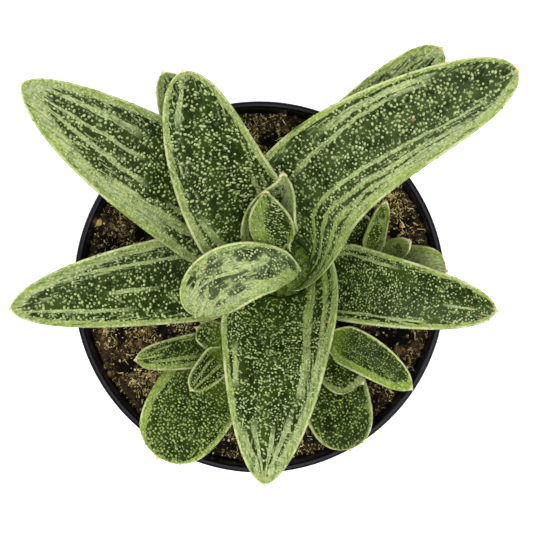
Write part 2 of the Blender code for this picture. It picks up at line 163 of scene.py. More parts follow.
# Leaves
#
# The form has the same words as in the model. A pair is for the stem's end and the tip's end of the leaf.
# bearing and reach place the tip round the stem's axis, low and high are the heights of both ends, and seat
# is how far from the axis the leaf starts. turn bends its path in plan, slope is how steeply it climbs, and
# bow above 1 stretches its curve. width has a third value in the middle, clasp narrows the stem's end, and a
# higher sharpness makes the tip blunter. thick is the flesh under the margins' level, hollow the channel
# above, and edge the margin's own thickness. roll turns the blade about its path. wrap bends its start round
# the stem, flare lifts the margins off it, and shift moves them along it. wave is how much the faces
# undulate. columns and stations count the mesh's steps across and along the blade.
#
# The looks have these words:
# margin    width of the pale band in millimetres: left at the stem and tip, right at the stem and tip
# tip, dry  the shares of the length at which the pale tip and the withered point start
# streaks   pale lines as (along, share) of both ends, and a width as a share of half the blade
# scars     scabs as (along, share, length in millimetres, turn in degrees)
# tone      how much of the open blade is as pale as the margins
# haze      how much grey sheen, a reflection painted into the colour, lies on the dark ground
# fresh     how bright a green the pale parts have
# deep      how much lime is in them
# lime      how far the lime flesh reaches from the stem
# young     how much of it is all over the blade
# spot      size of the raised dots, as a share of the usual one
# spacing   the same of the distance between them
# spotted   how many of the dots there are
# longest   length over breadth of the longest dot
# least     the dots' density where they thin out
# nearest   how close two dots may come, as a share of their spacing
# grain     the scale of all dots
MAIN_LEAVES = {
    "leaf_north_west": dict(
        bearing=145, reach=84, low=91.85, high=128, turn=(-6, 2), width=(30, 28, 12), roll=(6, -8),
        clasp=0.6,
        margin=(1.2, 5.9, 1.2, 2.6), tip=0.91,
        streaks=(
            (0.02, -0.5, 0.6, -0.66, 0.1), (0.05, -0.22, 0.36, -0.34, 0.05), (0.5, -0.3, 0.97, -0.2, 0.06),
            (0.55, 0.1, 0.97, 0.05, 0.05), (0.6, 0.5, 0.97, 0.5, 0.08), (0.35, -0.75, 0.75, -0.8, 0.1),
        ),
    ),
    "leaf_west": dict(
        bearing=189, reach=74, low=84, high=118, turn=(-2, -3), width=(26, 22, 13), roll=(6, 2), clasp=0.55,
        sharpness=7,
        margin=(0.9, 1.6, 1.4, 3.4), tip=0.94,
        streaks=(
            (0.2, 0.5, 0.95, 0.62, 0.05), (0.42, -0.12, 0.6, -0.08, 0.06), (0.55, -0.6, 0.98, -0.4, 0.06),
        ),
    ),
    "leaf_north": dict(
        bearing=117.5, reach=56.5, low=104.5, high=139, turn=(17, 11), slope=(40, 22),
        width=(29, 25, 14), roll=(0, 6), clasp=0.45,
        margin=(2.6, 1.3, 1.6, 1.8), tip=0.97, spot=1.0, longest=2.0,
        streaks=(
            (0.02, -0.5, 0.32, -0.72, 0.07), (0.12, 0.5, 0.4, 0.6, 0.05), (0.78, -0.55, 0.96, -0.3, 0.12),
        ),
        scars=((0.5, 0.45, 1.0, 20),),
    ),
    "leaf_north_low": dict(
        bearing=122, reach=61, low=83, high=116, turn=(0, 4), slope=(28, 24),
        width=(19, 18, 10), thick=4.0, clasp=0.45,
        margin=(1.8, 2.2, 1.0, 1.5), tip=0.95,
    ),
    "leaf_north_east_low": dict(
        bearing=54, reach=72, low=87.25, high=119, turn=(14, 8), width=(30, 22, 13), clasp=0.45,
        margin=(1.2, 2.0, 1.6, 3.6), tip=0.93, dry=0.985, painted_sheen=0.5, tone=0.2,
        streaks=(
            (0.55, -0.35, 0.93, -0.2, 0.05), (0.6, -0.58, 0.95, -0.4, 0.05), (0.3, -0.7, 0.6, -0.75, 0.05),
        ),
        scars=((0.72, -0.4, 0.8, 40), (0.55, -0.6, 0.6, 10)),
    ),
    "leaf_north_east": dict(
        bearing=40, reach=80, low=98.5, high=132, turn=(42, 14), width=(32.5, 27, 16), roll=(0, 6),
        clasp=0.8, shift=7,
        margin=(1.4, 1.1, 2.6, 3.0), tip=0.99, dry=0.985, painted_sheen=0.15, lime=0.0,
        streaks=(
            (0.24, -0.42, 0.72, -0.66, 0.05), (0.4, -0.72, 0.75, -0.8, 0.07), (0.0, 0.22, 0.86, 0.44, 0.04),
            (0.0, 0.46, 0.8, 0.66, 0.05), (0.0, 0.7, 0.95, 0.78, 0.05),
        ),
        scars=(
            (0.64, 0.02, 1.8, 25), (0.66, 0.2, 0.8, 70), (0.47, 0.1, 1.2, 10), (0.49, -0.22, 0.9, 60),
            (0.36, -0.3, 1.0, 80), (0.4, 0.42, 1.1, 95), (0.3, 0.72, 1.3, 95), (0.52, 0.72, 0.8, 40),
        ),
    ),
    "leaf_east": dict(
        bearing=-12, reach=59, low=86, high=113, turn=(-3, -3), slope=(42, 8), width=(22, 18.5, 10),
        clasp=0.6,
        margin=(1.2, 0.9, 1.0, 1.3), tip=0.985, dry=0.985, lime=0.0, spot=0.75, spacing=0.78,
        streaks=(
            (0.0, 0.76, 0.66, 0.76, 0.04), (0.0, -0.78, 0.45, -0.72, 0.05), (0.75, 0.1, 0.9, 0.12, 0.05),
        ),
        scars=((0.22, 0.72, 0.8, 30), (0.2, 0.55, 0.8, 120), (0.88, 0.0, 0.9, 10), (0.93, 0.5, 1.4, 0)),
    ),
    "leaf_south": dict(
        bearing=265, reach=58.5, low=92.8, high=121, width=(33, 25.5, 12.5), clasp=0.85, flare=4.5,
        shift=-3, sharpness=7,
        margin=(1.6, 3.6, 1.0, 2.0), tip=0.975, lime=0.0, spot=0.8, spacing=0.83, longest=2.4,
        streaks=(
            (0.0, -0.46, 0.55, -0.62, 0.08), (0.0, -0.76, 0.5, -0.82, 0.05), (0.3, 0.78, 0.52, 0.8, 0.06),
            (0.74, -0.12, 1.0, 0.0, 0.07), (0.72, 0.42, 1.0, 0.2, 0.07), (0.68, -0.5, 1.0, -0.2, 0.1),
            (0.76, 0.72, 1.0, 0.4, 0.12),
        ),
        scars=((0.14, -0.85, 1.2, 80), (0.3, -0.8, 1.0, 60), (0.42, 0.92, 1.2, 80), (0.96, -0.2, 0.9, 10)),
    ),
    "leaf_heart_west": dict(
        bearing=210, reach=27.4, low=111.7, high=115, seat=4.4, turn=(-258, -44), bow=1.65, slope=(112, -25),
        width=(7, 16.2, 23.5), thick=4.0, hollow=-1.4, wrap=0, sharpness=4,
        margin=(4.6, 3.0, 0.5, 1.6), tip=0.84, tone=0.3, painted_sheen=0.55, lime=0.0, spot=0.85, spacing=0.8,
        spotted=0.95,
        streaks=(
            (0.0, -0.2, 0.16, -0.3, 0.8), (0.12, -0.62, 0.5, -0.5, 0.14), (0.5, 0.1, 0.9, 0.35, 0.06),
            (0.6, -0.25, 0.94, -0.45, 0.07), (0.76, 0.5, 0.95, 0.3, 0.08),
        ),
        scars=((0.72, 0.6, 1.1, 15),),
    ),
    "leaf_heart_north": dict(
        bearing=90.5, reach=22.5, low=108.75, high=148.1, turn=(28, -8), slope=(44, 65),
        width=(16, 12.2, 4), thick=3.6, hollow=3.3, sharpness=4, clasp=0.5,
        margin=(2.2, 2.0, 5, 5), tip=0.88, tone=0.4, lime=0.0, spot=0.6, spacing=0.75, spotted=0.7,
    ),
    "leaf_heart_inner": dict(
        bearing=104, reach=19.3, low=110.8, high=139.9, seat=3.7, turn=(8, 4), roll=(8, 14), slope=(68, 62),
        width=(4, 12.4, 5), thick=1.2, hollow=0.7, edge=1.0, wrap=0, sharpness=3, clasp=0.6,
        margin=(5.6, 3.0, 0.9, 0.6), tip=0.98, fresh=0.7, lime=0.0, spot=0.95, spacing=0.9,
        spotted=0.9, deep=0.35,
    ),
}
OFFSET_LEAVES = {
    "offset_stem_south_west": {
        "offset_leaf_1_west": dict(
            bearing=188, reach=27, low=84.5, high=97, width=(10, 9, 6),
            margin=(2.2, 1.2, 0.8, 0.9), tip=0.93,
            streaks=((0.1, -0.35, 0.85, -0.35, 0.1), (0.7, 0.1, 0.98, 0.0, 0.1), (0.6, 0.6, 0.98, 0.3, 0.1)),
        ),
        "offset_leaf_1_south": dict(
            bearing=236, reach=37, low=80.5, high=99, width=(20, 24, 19), clasp=0.4,
            margin=(1.6, 1.2, 3.2, 1.8), tip=0.975, fresh=0.7, lime=0.5, spot=1.2, spacing=1.08,
        ),
        "offset_leaf_1_heart": dict(
            bearing=226, reach=16, low=90, high=101, slope=(50, 50), width=(9, 8, 5),
            margin=(0.7, 0.7, 0.7, 0.7), tip=0.95,
            streaks=((0.2, -0.3, 0.95, -0.2, 0.12), (0.3, 0.35, 0.95, 0.2, 0.1)),
        ),
        "offset_leaf_1_north": dict(
            bearing=154, reach=11, low=88.3, high=91.5, width=(8, 8, 6),
            margin=(0.6, 0.6, 0.6, 0.6), tip=0.93, fresh=0.9, lime=0.7, spot=1.4, spacing=0.95,
        ),
    },
    "offset_stem_south_east": {
        "offset_leaf_2_east": dict(
            bearing=-28, reach=29, low=89.3, high=98, turn=(18, 12), width=(10, 10.5, 5.5),
            margin=(0.6, 0.5, 2.2, 2.4), tip=0.9, fresh=0.9, lime=0.3, deep=0.25, spot=0.55, spacing=0.8,
        ),
        "offset_leaf_2_low": dict(
            bearing=-45, reach=17.5, low=84.4, high=92, width=(14, 16, 14),
            margin=(0.7, 1.0, 0.7, 2.4), tip=0.84, tone=0.1, fresh=0.1, spotted=0.8,
        ),
        "offset_leaf_2_south": dict(
            bearing=-74, reach=32, low=80.5, high=95, width=(16, 19, 15),
            margin=(0.9, 0.9, 0.9, 0.9), tip=0.975, spot=1.08, spacing=1.14, longest=2.2,
        ),
    },
    "offset_stem_east": {
        "offset_leaf_3_north": dict(
            bearing=79, reach=17, low=85.8, high=110, slope=(45, 70), width=(6.5, 5, 3),
            margin=(1.0, 0.8, 1.0, 0.8), tip=0.9, young=0.25, tone=0.2,
        ),
        "offset_leaf_3_west": dict(
            bearing=106, reach=15, low=80.3, high=92, slope=(45, 40), width=(8, 9, 6),
            margin=(0.5, 0.5, 0.5, 0.5), tip=0.95,
        ),
        "offset_leaf_3_east": dict(
            bearing=32, reach=12, low=82.8, high=101, slope=(50, 65), width=(6, 6, 4),
            margin=(1.2, 1.0, 1.2, 1.0), tip=0.88, young=0.4, tone=0.6,
        ),
        "offset_leaf_3_south": dict(
            bearing=-4, reach=21, low=79.5, high=97, width=(11, 13, 12),
            margin=(2.0, 3.0, 2.0, 3.0), tip=0.88, tone=2.2, fresh=0.0, lime=0.0, spot=0.6, spacing=0.8,
            spotted=0.25,
        ),
    },
}
PLAIN_LEAF = dict(
    turn=(0, 0), bow=1, roll=(0, 0), slope=(38, 10), wrap=1, flare=0, shift=0, sharpness=10,
    streaks=(), scars=(), dry=None, tone=0.0, young=0.0, fresh=0.0, painted_sheen=0.0, deep=0.0,
    spot=1.0, spacing=1.0, spotted=1.0, longest=SPOT_LONGEST, least=SPOTS_LEAST, nearest=SPOTS_NEAREST,
)
MAIN_BUILD = dict(
    PLAIN_LEAF, columns=38, stations=84, thick=5.6, hollow=1.6, edge=1.5, clasp=0.75, wave=0.28,
    grain=1.0, lime=0.04,
)
OFFSET_BUILD = dict(
    PLAIN_LEAF, columns=22, stations=44, thick=2.6, hollow=0.6, edge=1.1, clasp=0.5, wave=0.12,
    grain=0.72, lime=0.35, fresh=0.45, least=0.85, nearest=0.88,
)
CLASP_END = 0.2  # share of the length at which a leaf has left its stem
TIP_CROWDING = 0.4  # how much closer together the sections are at the tip
TIP_WIDTH = 1.6
TIP_THICK = 0.45  # thickness at the tip, as a share of that at the stem
TIP_EDGE = 0.6  # the same of the margin
KEEL_POWER = 0.7  # under 1 fills out the underside beside its middle
SLIM_POWER = 0.6  # how fast a narrowing blade thins
POINT_LENGTH = 0.8
POINT_WIDTH = 0.9
POINT_RINGS = (0.85, 0.6, 0.25)  # the hard point's sections, as shares of its width
EDGE_STEPS = 3  # points round a margin, between its two faces
EDGE_BULGE = 0.3
LIP = 0.12  # how far a margin stands over the face beside it
LIP_START, LIP_END = 0.8, 0.97  # the shares of half the width between which it rises
WAVE_LENGTH = 9.0
SCAR_HEIGHT = 0.13


class Field:
    """A value in a node tree. Arithmetic on it adds Math nodes."""

    def __init__(self, tree, socket):
        self.tree = tree
        self.socket = socket

    def math(self, operation, *others):
        return self.tree.math(operation, self, *others)

    def __add__(self, other):
        return self.math("ADD", other)

    def __mul__(self, other):
        return self.math("MULTIPLY", other)

    def __sub__(self, other):
        return self.math("SUBTRACT", other)

    def __rsub__(self, other):
        return self.tree.math("SUBTRACT", other, self)

    def __truediv__(self, other):
        return self.math("DIVIDE", other)

    def __rtruediv__(self, other):
        return self.tree.math("DIVIDE", other, self)

    __radd__ = __add__
    __rmul__ = __mul__

    def beside(self, output):
        """Another output of the node that the value comes from."""
        return Field(self.tree, self.socket.node.outputs[output])

    def most(self, other):
        return self.math("MAXIMUM", other)

    def step(self, low, high):
        """0 below low and 1 above high, with a smooth step between; high may be the lower one."""
        sockets = {"Value": self, "From Min": low, "From Max": high}
        return self.tree.node("ShaderNodeMapRange", {"interpolation_type": "SMOOTHSTEP"}, sockets)


class Tree:
    """A node tree and the few ways in which nodes are added to it."""

    def __init__(self, nodes):
        self.tree = nodes

    def node(self, kind, settings=None, sockets=None, output=None):
        """Adds a node: its settings first, then the values or links of its sockets."""
        made = self.tree.nodes.new(kind)
        for key, value in (settings or {}).items():
            setattr(made, key, value)
        for key, value in (sockets or {}).items():
            if isinstance(key, int):
                socket = made.inputs[key]
            else:
                socket = next(s for s in made.inputs if s.enabled and s.name == key)
            self.feed(socket, value)
        return Field(self, next(s for s in made.outputs if s.enabled and output in (None, s.name)))

    def feed(self, socket, value):
        if isinstance(value, Field):
            self.tree.links.new(value.socket, socket)
        elif socket.type == "RGBA":
            socket.default_value = (*value, 1.0)
        else:
            socket.default_value = value

    def math(self, operation, *values):
        return self.node("ShaderNodeMath", {"operation": operation}, dict(enumerate(values)))

    def vector(self, operation, *values):
        return self.node("ShaderNodeVectorMath", {"operation": operation}, dict(enumerate(values)))

    def combine(self, x=0.0, y=0.0, z=0.0):
        return self.node("ShaderNodeCombineXYZ", {}, {"X": x, "Y": y, "Z": z})

    def split(self, vector, output="X"):
        return self.node("ShaderNodeSeparateXYZ", {}, {"Vector": vector}, output)

    def random(self, kind, low, high, seed):
        """A value drawn anew for each point."""
        sockets = {"Min": low, "Max": high, "Seed": seed}
        return self.node("FunctionNodeRandomValue", {"data_type": kind}, sockets)

    def named(self, name):
        """A number that the geometry carries under a name."""
        settings = {"data_type": "FLOAT"}
        return self.node("GeometryNodeInputNamedAttribute", settings, {"Name": name}, "Attribute")


class Finish(Tree):
    """A material whose Principled shader is fed by expressions."""

    def __init__(self, name, roughness=0.5, specular=0.5):
        self.material = bpy.data.materials.new(name)
        self.material.use_nodes = True
        super().__init__(self.material.node_tree)
        self.shader = self.tree.nodes["Principled BSDF"]
        self.feed(self.shader.inputs["Roughness"], roughness)
        self.feed(self.shader.inputs["Specular IOR Level"], specular)

    def attribute(self, name, output="Fac"):
        return self.node("ShaderNodeAttribute", {"attribute_name": name}, output=output)

    def place(self):
        return self.node("ShaderNodeTexCoord", output="Object")

    def noise(self, vector, scale, detail=3.0, roughness=0.5):
        sockets = {"Vector": vector, "Scale": scale, "Detail": detail, "Roughness": roughness}
        return self.node("ShaderNodeTexNoise", {}, sockets)

    def cells(self, vector, scale, output="Distance"):
        return self.node("ShaderNodeTexVoronoi", {}, {"Vector": vector, "Scale": scale}, output)

    def mix(self, factor, first, second):
        sockets = {"Factor": factor, "A": first, "B": second}
        return self.node("ShaderNodeMix", {"data_type": "RGBA"}, sockets)

    def colour(self, value):
        self.feed(self.shader.inputs["Base Color"], value)

    def rough(self, value):
        self.feed(self.shader.inputs["Roughness"], value)

    def bump(self, height, distance, strength=1.0):
        """Relief in the shading alone. The distance is in millimetres."""
        sockets = {"Height": height, "Distance": distance * MM, "Strength": strength}
        self.feed(self.shader.inputs["Normal"], self.node("ShaderNodeBump", {}, sockets))


def object_of(name, mesh, smooth=True):
    """A new object in the scene, at the origin."""
    obj = bpy.data.objects.new(name, mesh)
    bpy.context.scene.collection.objects.link(obj)
    if smooth:
        mesh.shade_smooth()
    return obj


def mesh_of(name, shape):
    """The mesh of a bmesh, which is freed."""
    mesh = bpy.data.meshes.new(name)
    shape.to_mesh(mesh)
    shape.free()
    return mesh


def settle(obj):
    """Makes the object's evaluated shape its mesh, and drops its modifiers."""
    graph = bpy.context.evaluated_depsgraph_get()
    mesh = bpy.data.meshes.new_from_object(obj.evaluated_get(graph))
    obj.modifiers.clear()
    obj.data = mesh


def dress(obj, node):
    """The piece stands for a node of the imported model, and moves with it."""
    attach(obj, "root")
    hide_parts(node)


def use_tree(obj, tree, values):
    """Puts a geometry tree on an object, with its inputs by name."""
    modifier = obj.modifiers.new(tree.name, "NODES")
    modifier.node_group = tree
    for item in tree.interface.items_tree:
        if item.in_out == "INPUT" and item.name in values:
            modifier[item.identifier] = values[item.name]


def geometry_tree(name, inputs):
    """An empty geometry tree with named inputs, as the tree, its inputs' fields by name, and its output."""
    group = bpy.data.node_groups.new(name, "GeometryNodeTree")
    group.interface.new_socket("Geometry", in_out="INPUT", socket_type="NodeSocketGeometry")
    for label, (kind, value) in inputs.items():
        socket = group.interface.new_socket(label, in_out="INPUT", socket_type=f"NodeSocket{kind}")
        if value is not None:
            socket.default_value = value
    group.interface.new_socket("Geometry", in_out="OUTPUT", socket_type="NodeSocketGeometry")
    tree = Tree(group)
    source = group.nodes.new("NodeGroupInput")
    given = {socket.name: Field(tree, socket) for socket in source.outputs if socket.name}
    sink = group.nodes.new("NodeGroupOutput")
    return tree, given, sink.inputs[0]


# Leaf shapes


def smooth_step(low, high, value):
    """0 below low and 1 above high, with a smooth step between; high may be the lower one."""
    share = min(max((value - low) / (high - low), 0), 1)
    return share * share * (3 - 2 * share)


def heading(bearing, slope):
    """The unit vector that runs along a bearing in plan and climbs by a slope, both in degrees."""
    bearing, slope = math.radians(bearing), math.radians(slope)
    flat = math.cos(slope)
    return Vector((flat * math.cos(bearing), flat * math.sin(bearing), math.sin(slope)))


def stem_radius(stem, height):
    """A stem bulges at the soil and narrows ever faster towards its top."""
    share = (height - SOIL_LEVEL) / (stem["top"] - SOIL_LEVEL)
    share = min(max(share, 0), 1)
    return stem["neck"] + (stem["radius"] - stem["neck"]) * (1 - share * share)


def leaf_path(stem, leaf):
    """The four handles of the Bezier curve that a leaf's middle follows."""
    axis = Vector((*stem["at"], 0))
    seat = leaf.get("seat", stem_radius(stem, leaf["low"]) + SEAT_GAP)
    first_turn, last_turn = leaf["turn"]
    first_slope, last_slope = leaf["slope"]
    start = axis + seat * heading(leaf["bearing"] + first_turn, 0) + Vector((0, 0, leaf["low"]))
    tip = axis + leaf["reach"] * heading(leaf["bearing"], 0) + Vector((0, 0, leaf["high"]))
    third = leaf["bow"] * (tip - start).length / 3
    return (
        start,
        start + third * heading(leaf["bearing"] + first_turn, first_slope),
        tip - third * heading(leaf["bearing"] - last_turn, last_slope),
        tip,
    )


def along_path(handles, t):
    """The point and the direction of a cubic Bezier curve at t."""
    a, b, c, d = handles
    s = 1 - t
    point = s**3 * a + 3 * s * s * t * b + 3 * s * t * t * c + t**3 * d
    slope = s * s * (b - a) + 2 * s * t * (c - b) + t * t * (d - c)
    return point, slope.normalized()


def leaf_width(leaf, t):
    """The blade's width at t, pinched at the stem and rounded at the tip."""
    base, middle, end = leaf["width"]
    width = base * (2 * t - 1) * (t - 1) + middle * 4 * t * (1 - t) + end * t * (2 * t - 1)
    clasp = leaf["clasp"] + (1 - leaf["clasp"]) * smooth_step(0, CLASP_END, t)
    tip = math.sqrt(max(1 - t ** leaf["sharpness"], 0))
    return max(width * clasp * tip, TIP_WIDTH)


def leaf_shares(columns):
    """The places across a blade, closer together at its margins, from -1 to 1."""
    return [math.sin(math.pi / 2 * (2 * j / columns - 1)) for j in range(columns + 1)]


def leaf_ring(leaf, width, thick, edge, seed):
    """One section as (across, up): upper face left to right, right margin, lower face back, left margin."""
    upper, lower = [], []
    full = min(width / leaf["width"][1], 1)
    for share in leaf_shares(leaf["columns"]):
        rise = 1 - share * share
        hollow = leaf["hollow"] * rise * full
        lip = LIP * full * smooth_step(LIP_START, LIP_END, abs(share))
        wave = leaf["wave"] * full * noise.noise(Vector((share * width / 2, seed[0], seed[1])) / WAVE_LENGTH)
        upper.append((share * width / 2, wave + lip - hollow))
        lower.append((share * width / 2, wave - edge - thick * rise**KEEL_POWER))
    right, left = [], []
    for k in range(1, EDGE_STEPS + 1):
        angle = math.pi * k / (EDGE_STEPS + 1)
        out = width / 2 + EDGE_BULGE * edge * math.sin(angle)
        middle = (upper[-1][1] + lower[-1][1]) / 2
        half = (upper[-1][1] - lower[-1][1]) / 2
        right.append((out, middle + half * math.cos(angle)))
        left.append((-out, middle - half * math.cos(angle)))
    return upper + right + lower[::-1] + left


def place_ring(ring, half, stem, leaf, point, direction, roll, wrap):
    """Puts a section across the leaf's path, and bends it round the stem by the share that is wrapped."""
    side = direction.cross(Vector((0, 0, 1))).normalized()
    up = side.cross(direction)
    turn = math.radians(roll)
    across = side * math.cos(turn) + up * math.sin(turn)
    normal = up * math.cos(turn) - side * math.sin(turn)
    axis = Vector((*stem["at"], 0))
    from_axis = (point - axis).to_2d()
    bearing = math.atan2(from_axis.y, from_axis.x)
    placed = []
    for x, z in ring:
        place = point + x * across + z * normal
        if wrap:
            bent_bearing = bearing - (x + leaf["shift"]) / from_axis.length
            radius = from_axis.length + leaf["flare"] * (x / half) ** 2
            bent = axis + radius * Vector((math.cos(bent_bearing), math.sin(bent_bearing), 0))
            bent.z = point.z + z + x * math.sin(turn)
            place = place.lerp(bent, wrap)
        out = (place - axis).to_2d()
        least = stem_radius(stem, place.z) + SEAT_GAP
        if out.length < least and place.z < stem["top"] + GAP:
            out = out.normalized() * least
            place = Vector((axis.x + out.x, axis.y + out.y, place.z))
        placed.append(place)
    return placed


def leaf_stations(stem, leaf):
    """The leaf's sections as (share of its length, width, points), from the stem to its hard point."""
    handles = leaf_path(stem, leaf)
    first_roll, last_roll = leaf["roll"]
    stations = []
    for i in range(leaf["stations"] + 1):
        share = i / leaf["stations"]
        t = share + TIP_CROWDING * (math.sin(share * math.pi / 2) - share)
        point, direction = along_path(handles, t)
        width = leaf_width(leaf, t)
        slim = min(width / leaf["width"][1], 1)
        thick = leaf["thick"] * (1 - (1 - TIP_THICK) * t) * slim**SLIM_POWER
        edge = leaf["edge"] * (1 - (1 - TIP_EDGE) * t)
        seed = (t * leaf["reach"], leaf["bearing"])
        ring = leaf_ring(leaf, width, thick, edge, seed)
        roll = first_roll + (last_roll - first_roll) * t
        wrap = leaf["wrap"] * (1 - smooth_step(0, CLASP_END, t))
        stations.append((t, width, place_ring(ring, width / 2, stem, leaf, point, direction, roll, wrap)))
    last = stations[-1][2]
    middle = sum(last, Vector()) / len(last)
    for k, shrink in enumerate(POINT_RINGS, start=1):
        away = POINT_LENGTH * k / len(POINT_RINGS) * direction
        points = [middle + shrink * POINT_WIDTH / TIP_WIDTH * (corner - middle) + away for corner in last]
        stations.append((1.0, TIP_WIDTH * shrink, points))
    return stations


SKIN, UNDERSIDE, POINT, SCAR = range(4)  # a blade's materials
LAYER = 0.037  # sets the markings of one face apart from those of the next


def blade_faces(leaf, rings, size):
    """The closed blade's faces and the material of each: skin above and at the margins, underside below."""
    columns = leaf["columns"]
    last = 2 * columns + 1 + EDGE_STEPS
    faces, kinds = [], []
    for i in range(rings - 1):
        for j in range(size):
            k = (j + 1) % size
            faces.append((i * size + j, (i + 1) * size + j, (i + 1) * size + k, i * size + k))
            below = columns + EDGE_STEPS < j < last
            kinds.append(POINT if i >= leaf["stations"] else UNDERSIDE if below else SKIN)
    for start in (0, (rings - 1) * size):
        for j in range(columns):
            faces.append(tuple(start + k for k in (j, j + 1, last - j - 1, last - j)))
            kinds.append(UNDERSIDE)
        faces.append(tuple(start + k for k in range(columns, columns + EDGE_STEPS + 2)))
        faces.append(tuple(start + k % size for k in range(last, size + 1)))
        kinds += [UNDERSIDE, UNDERSIDE]
    return faces, kinds


def spot_density(leaf, t, inset, below):
    """How thickly raised dots grow at a place: few along the margins and below, none at the ends."""
    grown = smooth_step(0.0, SPOTS_START, t) * (1 - smooth_step(SPOTS_END, 1.0, t))
    amount = SPOTS_AT_MARGIN + (1 - SPOTS_AT_MARGIN) * smooth_step(0.1, 0.8, inset)
    return grown * (SPOTS_BELOW if below else amount) * leaf["spotted"]


def add_blade_values(mesh, leaf, stations, seed):
    """Gives the blade's points the attributes that its finishes and its dots read."""
    columns = leaf["columns"]
    shares = leaf_shares(columns)
    row = shares + [1.0] * EDGE_STEPS + shares[::-1] + [-1.0] * EDGE_STEPS
    values = {"along": [], "share": [], "inset": [], "spots": []}
    lie, run, previous = [], 0.0, stations[0][2][columns // 2]
    for t, width, points in stations:
        run += (points[columns // 2] - previous).length
        previous = points[columns // 2]
        for j, share in enumerate(row):
            inset = (1 - abs(share)) * width / 2
            below = columns + EDGE_STEPS < j < 2 * columns + EDGE_STEPS + 2
            values["along"].append(t)
            values["share"].append(share)
            values["inset"].append(inset)
            values["spots"].append(spot_density(leaf, t, inset, below))
            lie += [run * MM, share * width / 2 * MM, (below + seed) * LAYER]
    for key, numbers in values.items():
        mesh.attributes.new(key, "FLOAT", "POINT").data.foreach_set("value", numbers)
    mesh.attributes.new("lie", "FLOAT_VECTOR", "POINT").data.foreach_set("vector", lie)


def blade_mesh(name, leaf, stations, seed):
    """A leaf's fleshy blade, from the cut at its stem to its hard point."""
    faces, kinds = blade_faces(leaf, len(stations), len(stations[0][2]))
    mesh = bpy.data.meshes.new(name)
    mesh.from_pydata([corner * MM for _, _, points in stations for corner in points], [], faces)
    mesh.polygons.foreach_set("material_index", kinds)
    add_blade_values(mesh, leaf, stations, seed)
    return mesh


def surface_point(leaf, stations, along, share):
    """A place on the upper face, and the directions along and across the blade there."""
    i = min(range(1, leaf["stations"]), key=lambda k: abs(stations[k][0] - along))
    shares = leaf_shares(leaf["columns"])
    j = min(range(1, leaf["columns"]), key=lambda k: abs(shares[k] - share))
    place = stations[i][2][j]
    ahead = (stations[i + 1][2][j] - stations[i - 1][2][j]).normalized()
    across = (stations[i][2][j + 1] - stations[i][2][j - 1]).normalized()
    return place, ahead, across


def add_scars(mesh, leaf, stations):
    """Small flat scabs on the upper face, as low mounds half in the skin. Then all faces turn outwards."""
    shape = bmesh.new()
    shape.from_mesh(mesh)
    for along, share, length, turn in leaf["scars"]:
        place, ahead, across = surface_point(leaf, stations, along, share)
        normal = across.cross(ahead).normalized()
        angle = math.radians(turn)
        first = ahead * math.cos(angle) + across * math.sin(angle)
        second = normal.cross(first)
        basis = Matrix((first, second, normal)).transposed().to_4x4()
        size = Matrix.Diagonal((length / 2, length / 5 + 0.08, SCAR_HEIGHT, 1))
        matrix = Matrix.Translation(place * MM) @ basis @ Matrix.Scale(MM, 4) @ size
        made = bmesh.ops.create_icosphere(shape, subdivisions=2, radius=1, matrix=matrix)
        for face in {face for vertex in made["verts"] for face in vertex.link_faces}:
            face.material_index = SCAR
    bmesh.ops.recalc_face_normals(shape, faces=shape.faces)
    shape.to_mesh(mesh)
    shape.free()


def spot_points(tree, given):
    """Places for raised dots on a blade, crowded in some patches and sparse in others."""
    spacing = given["Spacing"]
    patches = tree.node("ShaderNodeTexNoise", {}, {"Scale": 1 / given["Clump"], "Detail": 2.0})
    crowd = patches.step(0.36, 0.52) * (1 - given["Least"]) + given["Least"]
    return tree.node("GeometryNodeDistributePointsOnFaces", {"distribute_method": "POISSON"}, {
        "Mesh": given["Geometry"], "Distance Min": spacing * given["Nearest"],
        "Density Max": SPOTS_CROWDED / (spacing * spacing), "Density Factor": crowd * tree.named("spots"),
        "Seed": given["Seed"],
    }, "Points")


def spots_tree():
    """Adds raised dots to a blade: low domes, of uneven size and length, that lie any way round."""
    tree, given, output = geometry_tree("leaf_spots", {
        "Spacing": ("Float", SPOT_SPACING * MM),
        "Radius": ("Float", SPOT_RADIUS * MM),
        "Height": ("Float", SPOT_HEIGHT),
        "Longest": ("Float", SPOT_LONGEST),
        "Least": ("Float", SPOTS_LEAST),
        "Nearest": ("Float", SPOTS_NEAREST),
        "Clump": ("Float", CLUMP_SIZE * MM),
        "Seed": ("Int", 0),
        "Finish": ("Material", None),
    })
    seed = given["Seed"]
    points = spot_points(tree, given)
    spin = tree.combine(z=tree.random("FLOAT", 0.0, math.pi, seed))
    spin = tree.node("FunctionNodeEulerToRotation", {}, {"Euler": spin})
    rotation = tree.node("FunctionNodeRotateRotation", {"rotation_space": "LOCAL"}, {
        "Rotation": points.beside("Rotation"), "Rotate By": spin,
    })
    size = tree.random("FLOAT", *SPOT_SIZES, seed) * given["Radius"]
    length = size * tree.random("FLOAT", SPOT_SHORTEST, given["Longest"], seed + 3)
    dome = tree.node("GeometryNodeMeshIcoSphere", {}, {"Radius": 1.0, "Subdivisions": 1}, "Mesh")
    dome = tree.node("GeometryNodeSetShadeSmooth", {}, {"Geometry": dome})
    domes = tree.node("GeometryNodeInstanceOnPoints", {}, {
        "Points": points, "Instance": dome, "Rotation": rotation,
        "Scale": tree.combine(length, size, size * given["Height"]),
    })
    domes = tree.node("GeometryNodeRealizeInstances", {}, {"Geometry": domes})
    domes = tree.node("GeometryNodeSetMaterial", {}, {"Geometry": domes, "Material": given["Finish"]})
    whole = tree.node("GeometryNodeJoinGeometry")
    for part in (domes, given["Geometry"]):
        tree.feed(whole.socket.node.inputs[0], part)
    tree.feed(output, whole)
    return tree.tree


# Leaf finishes

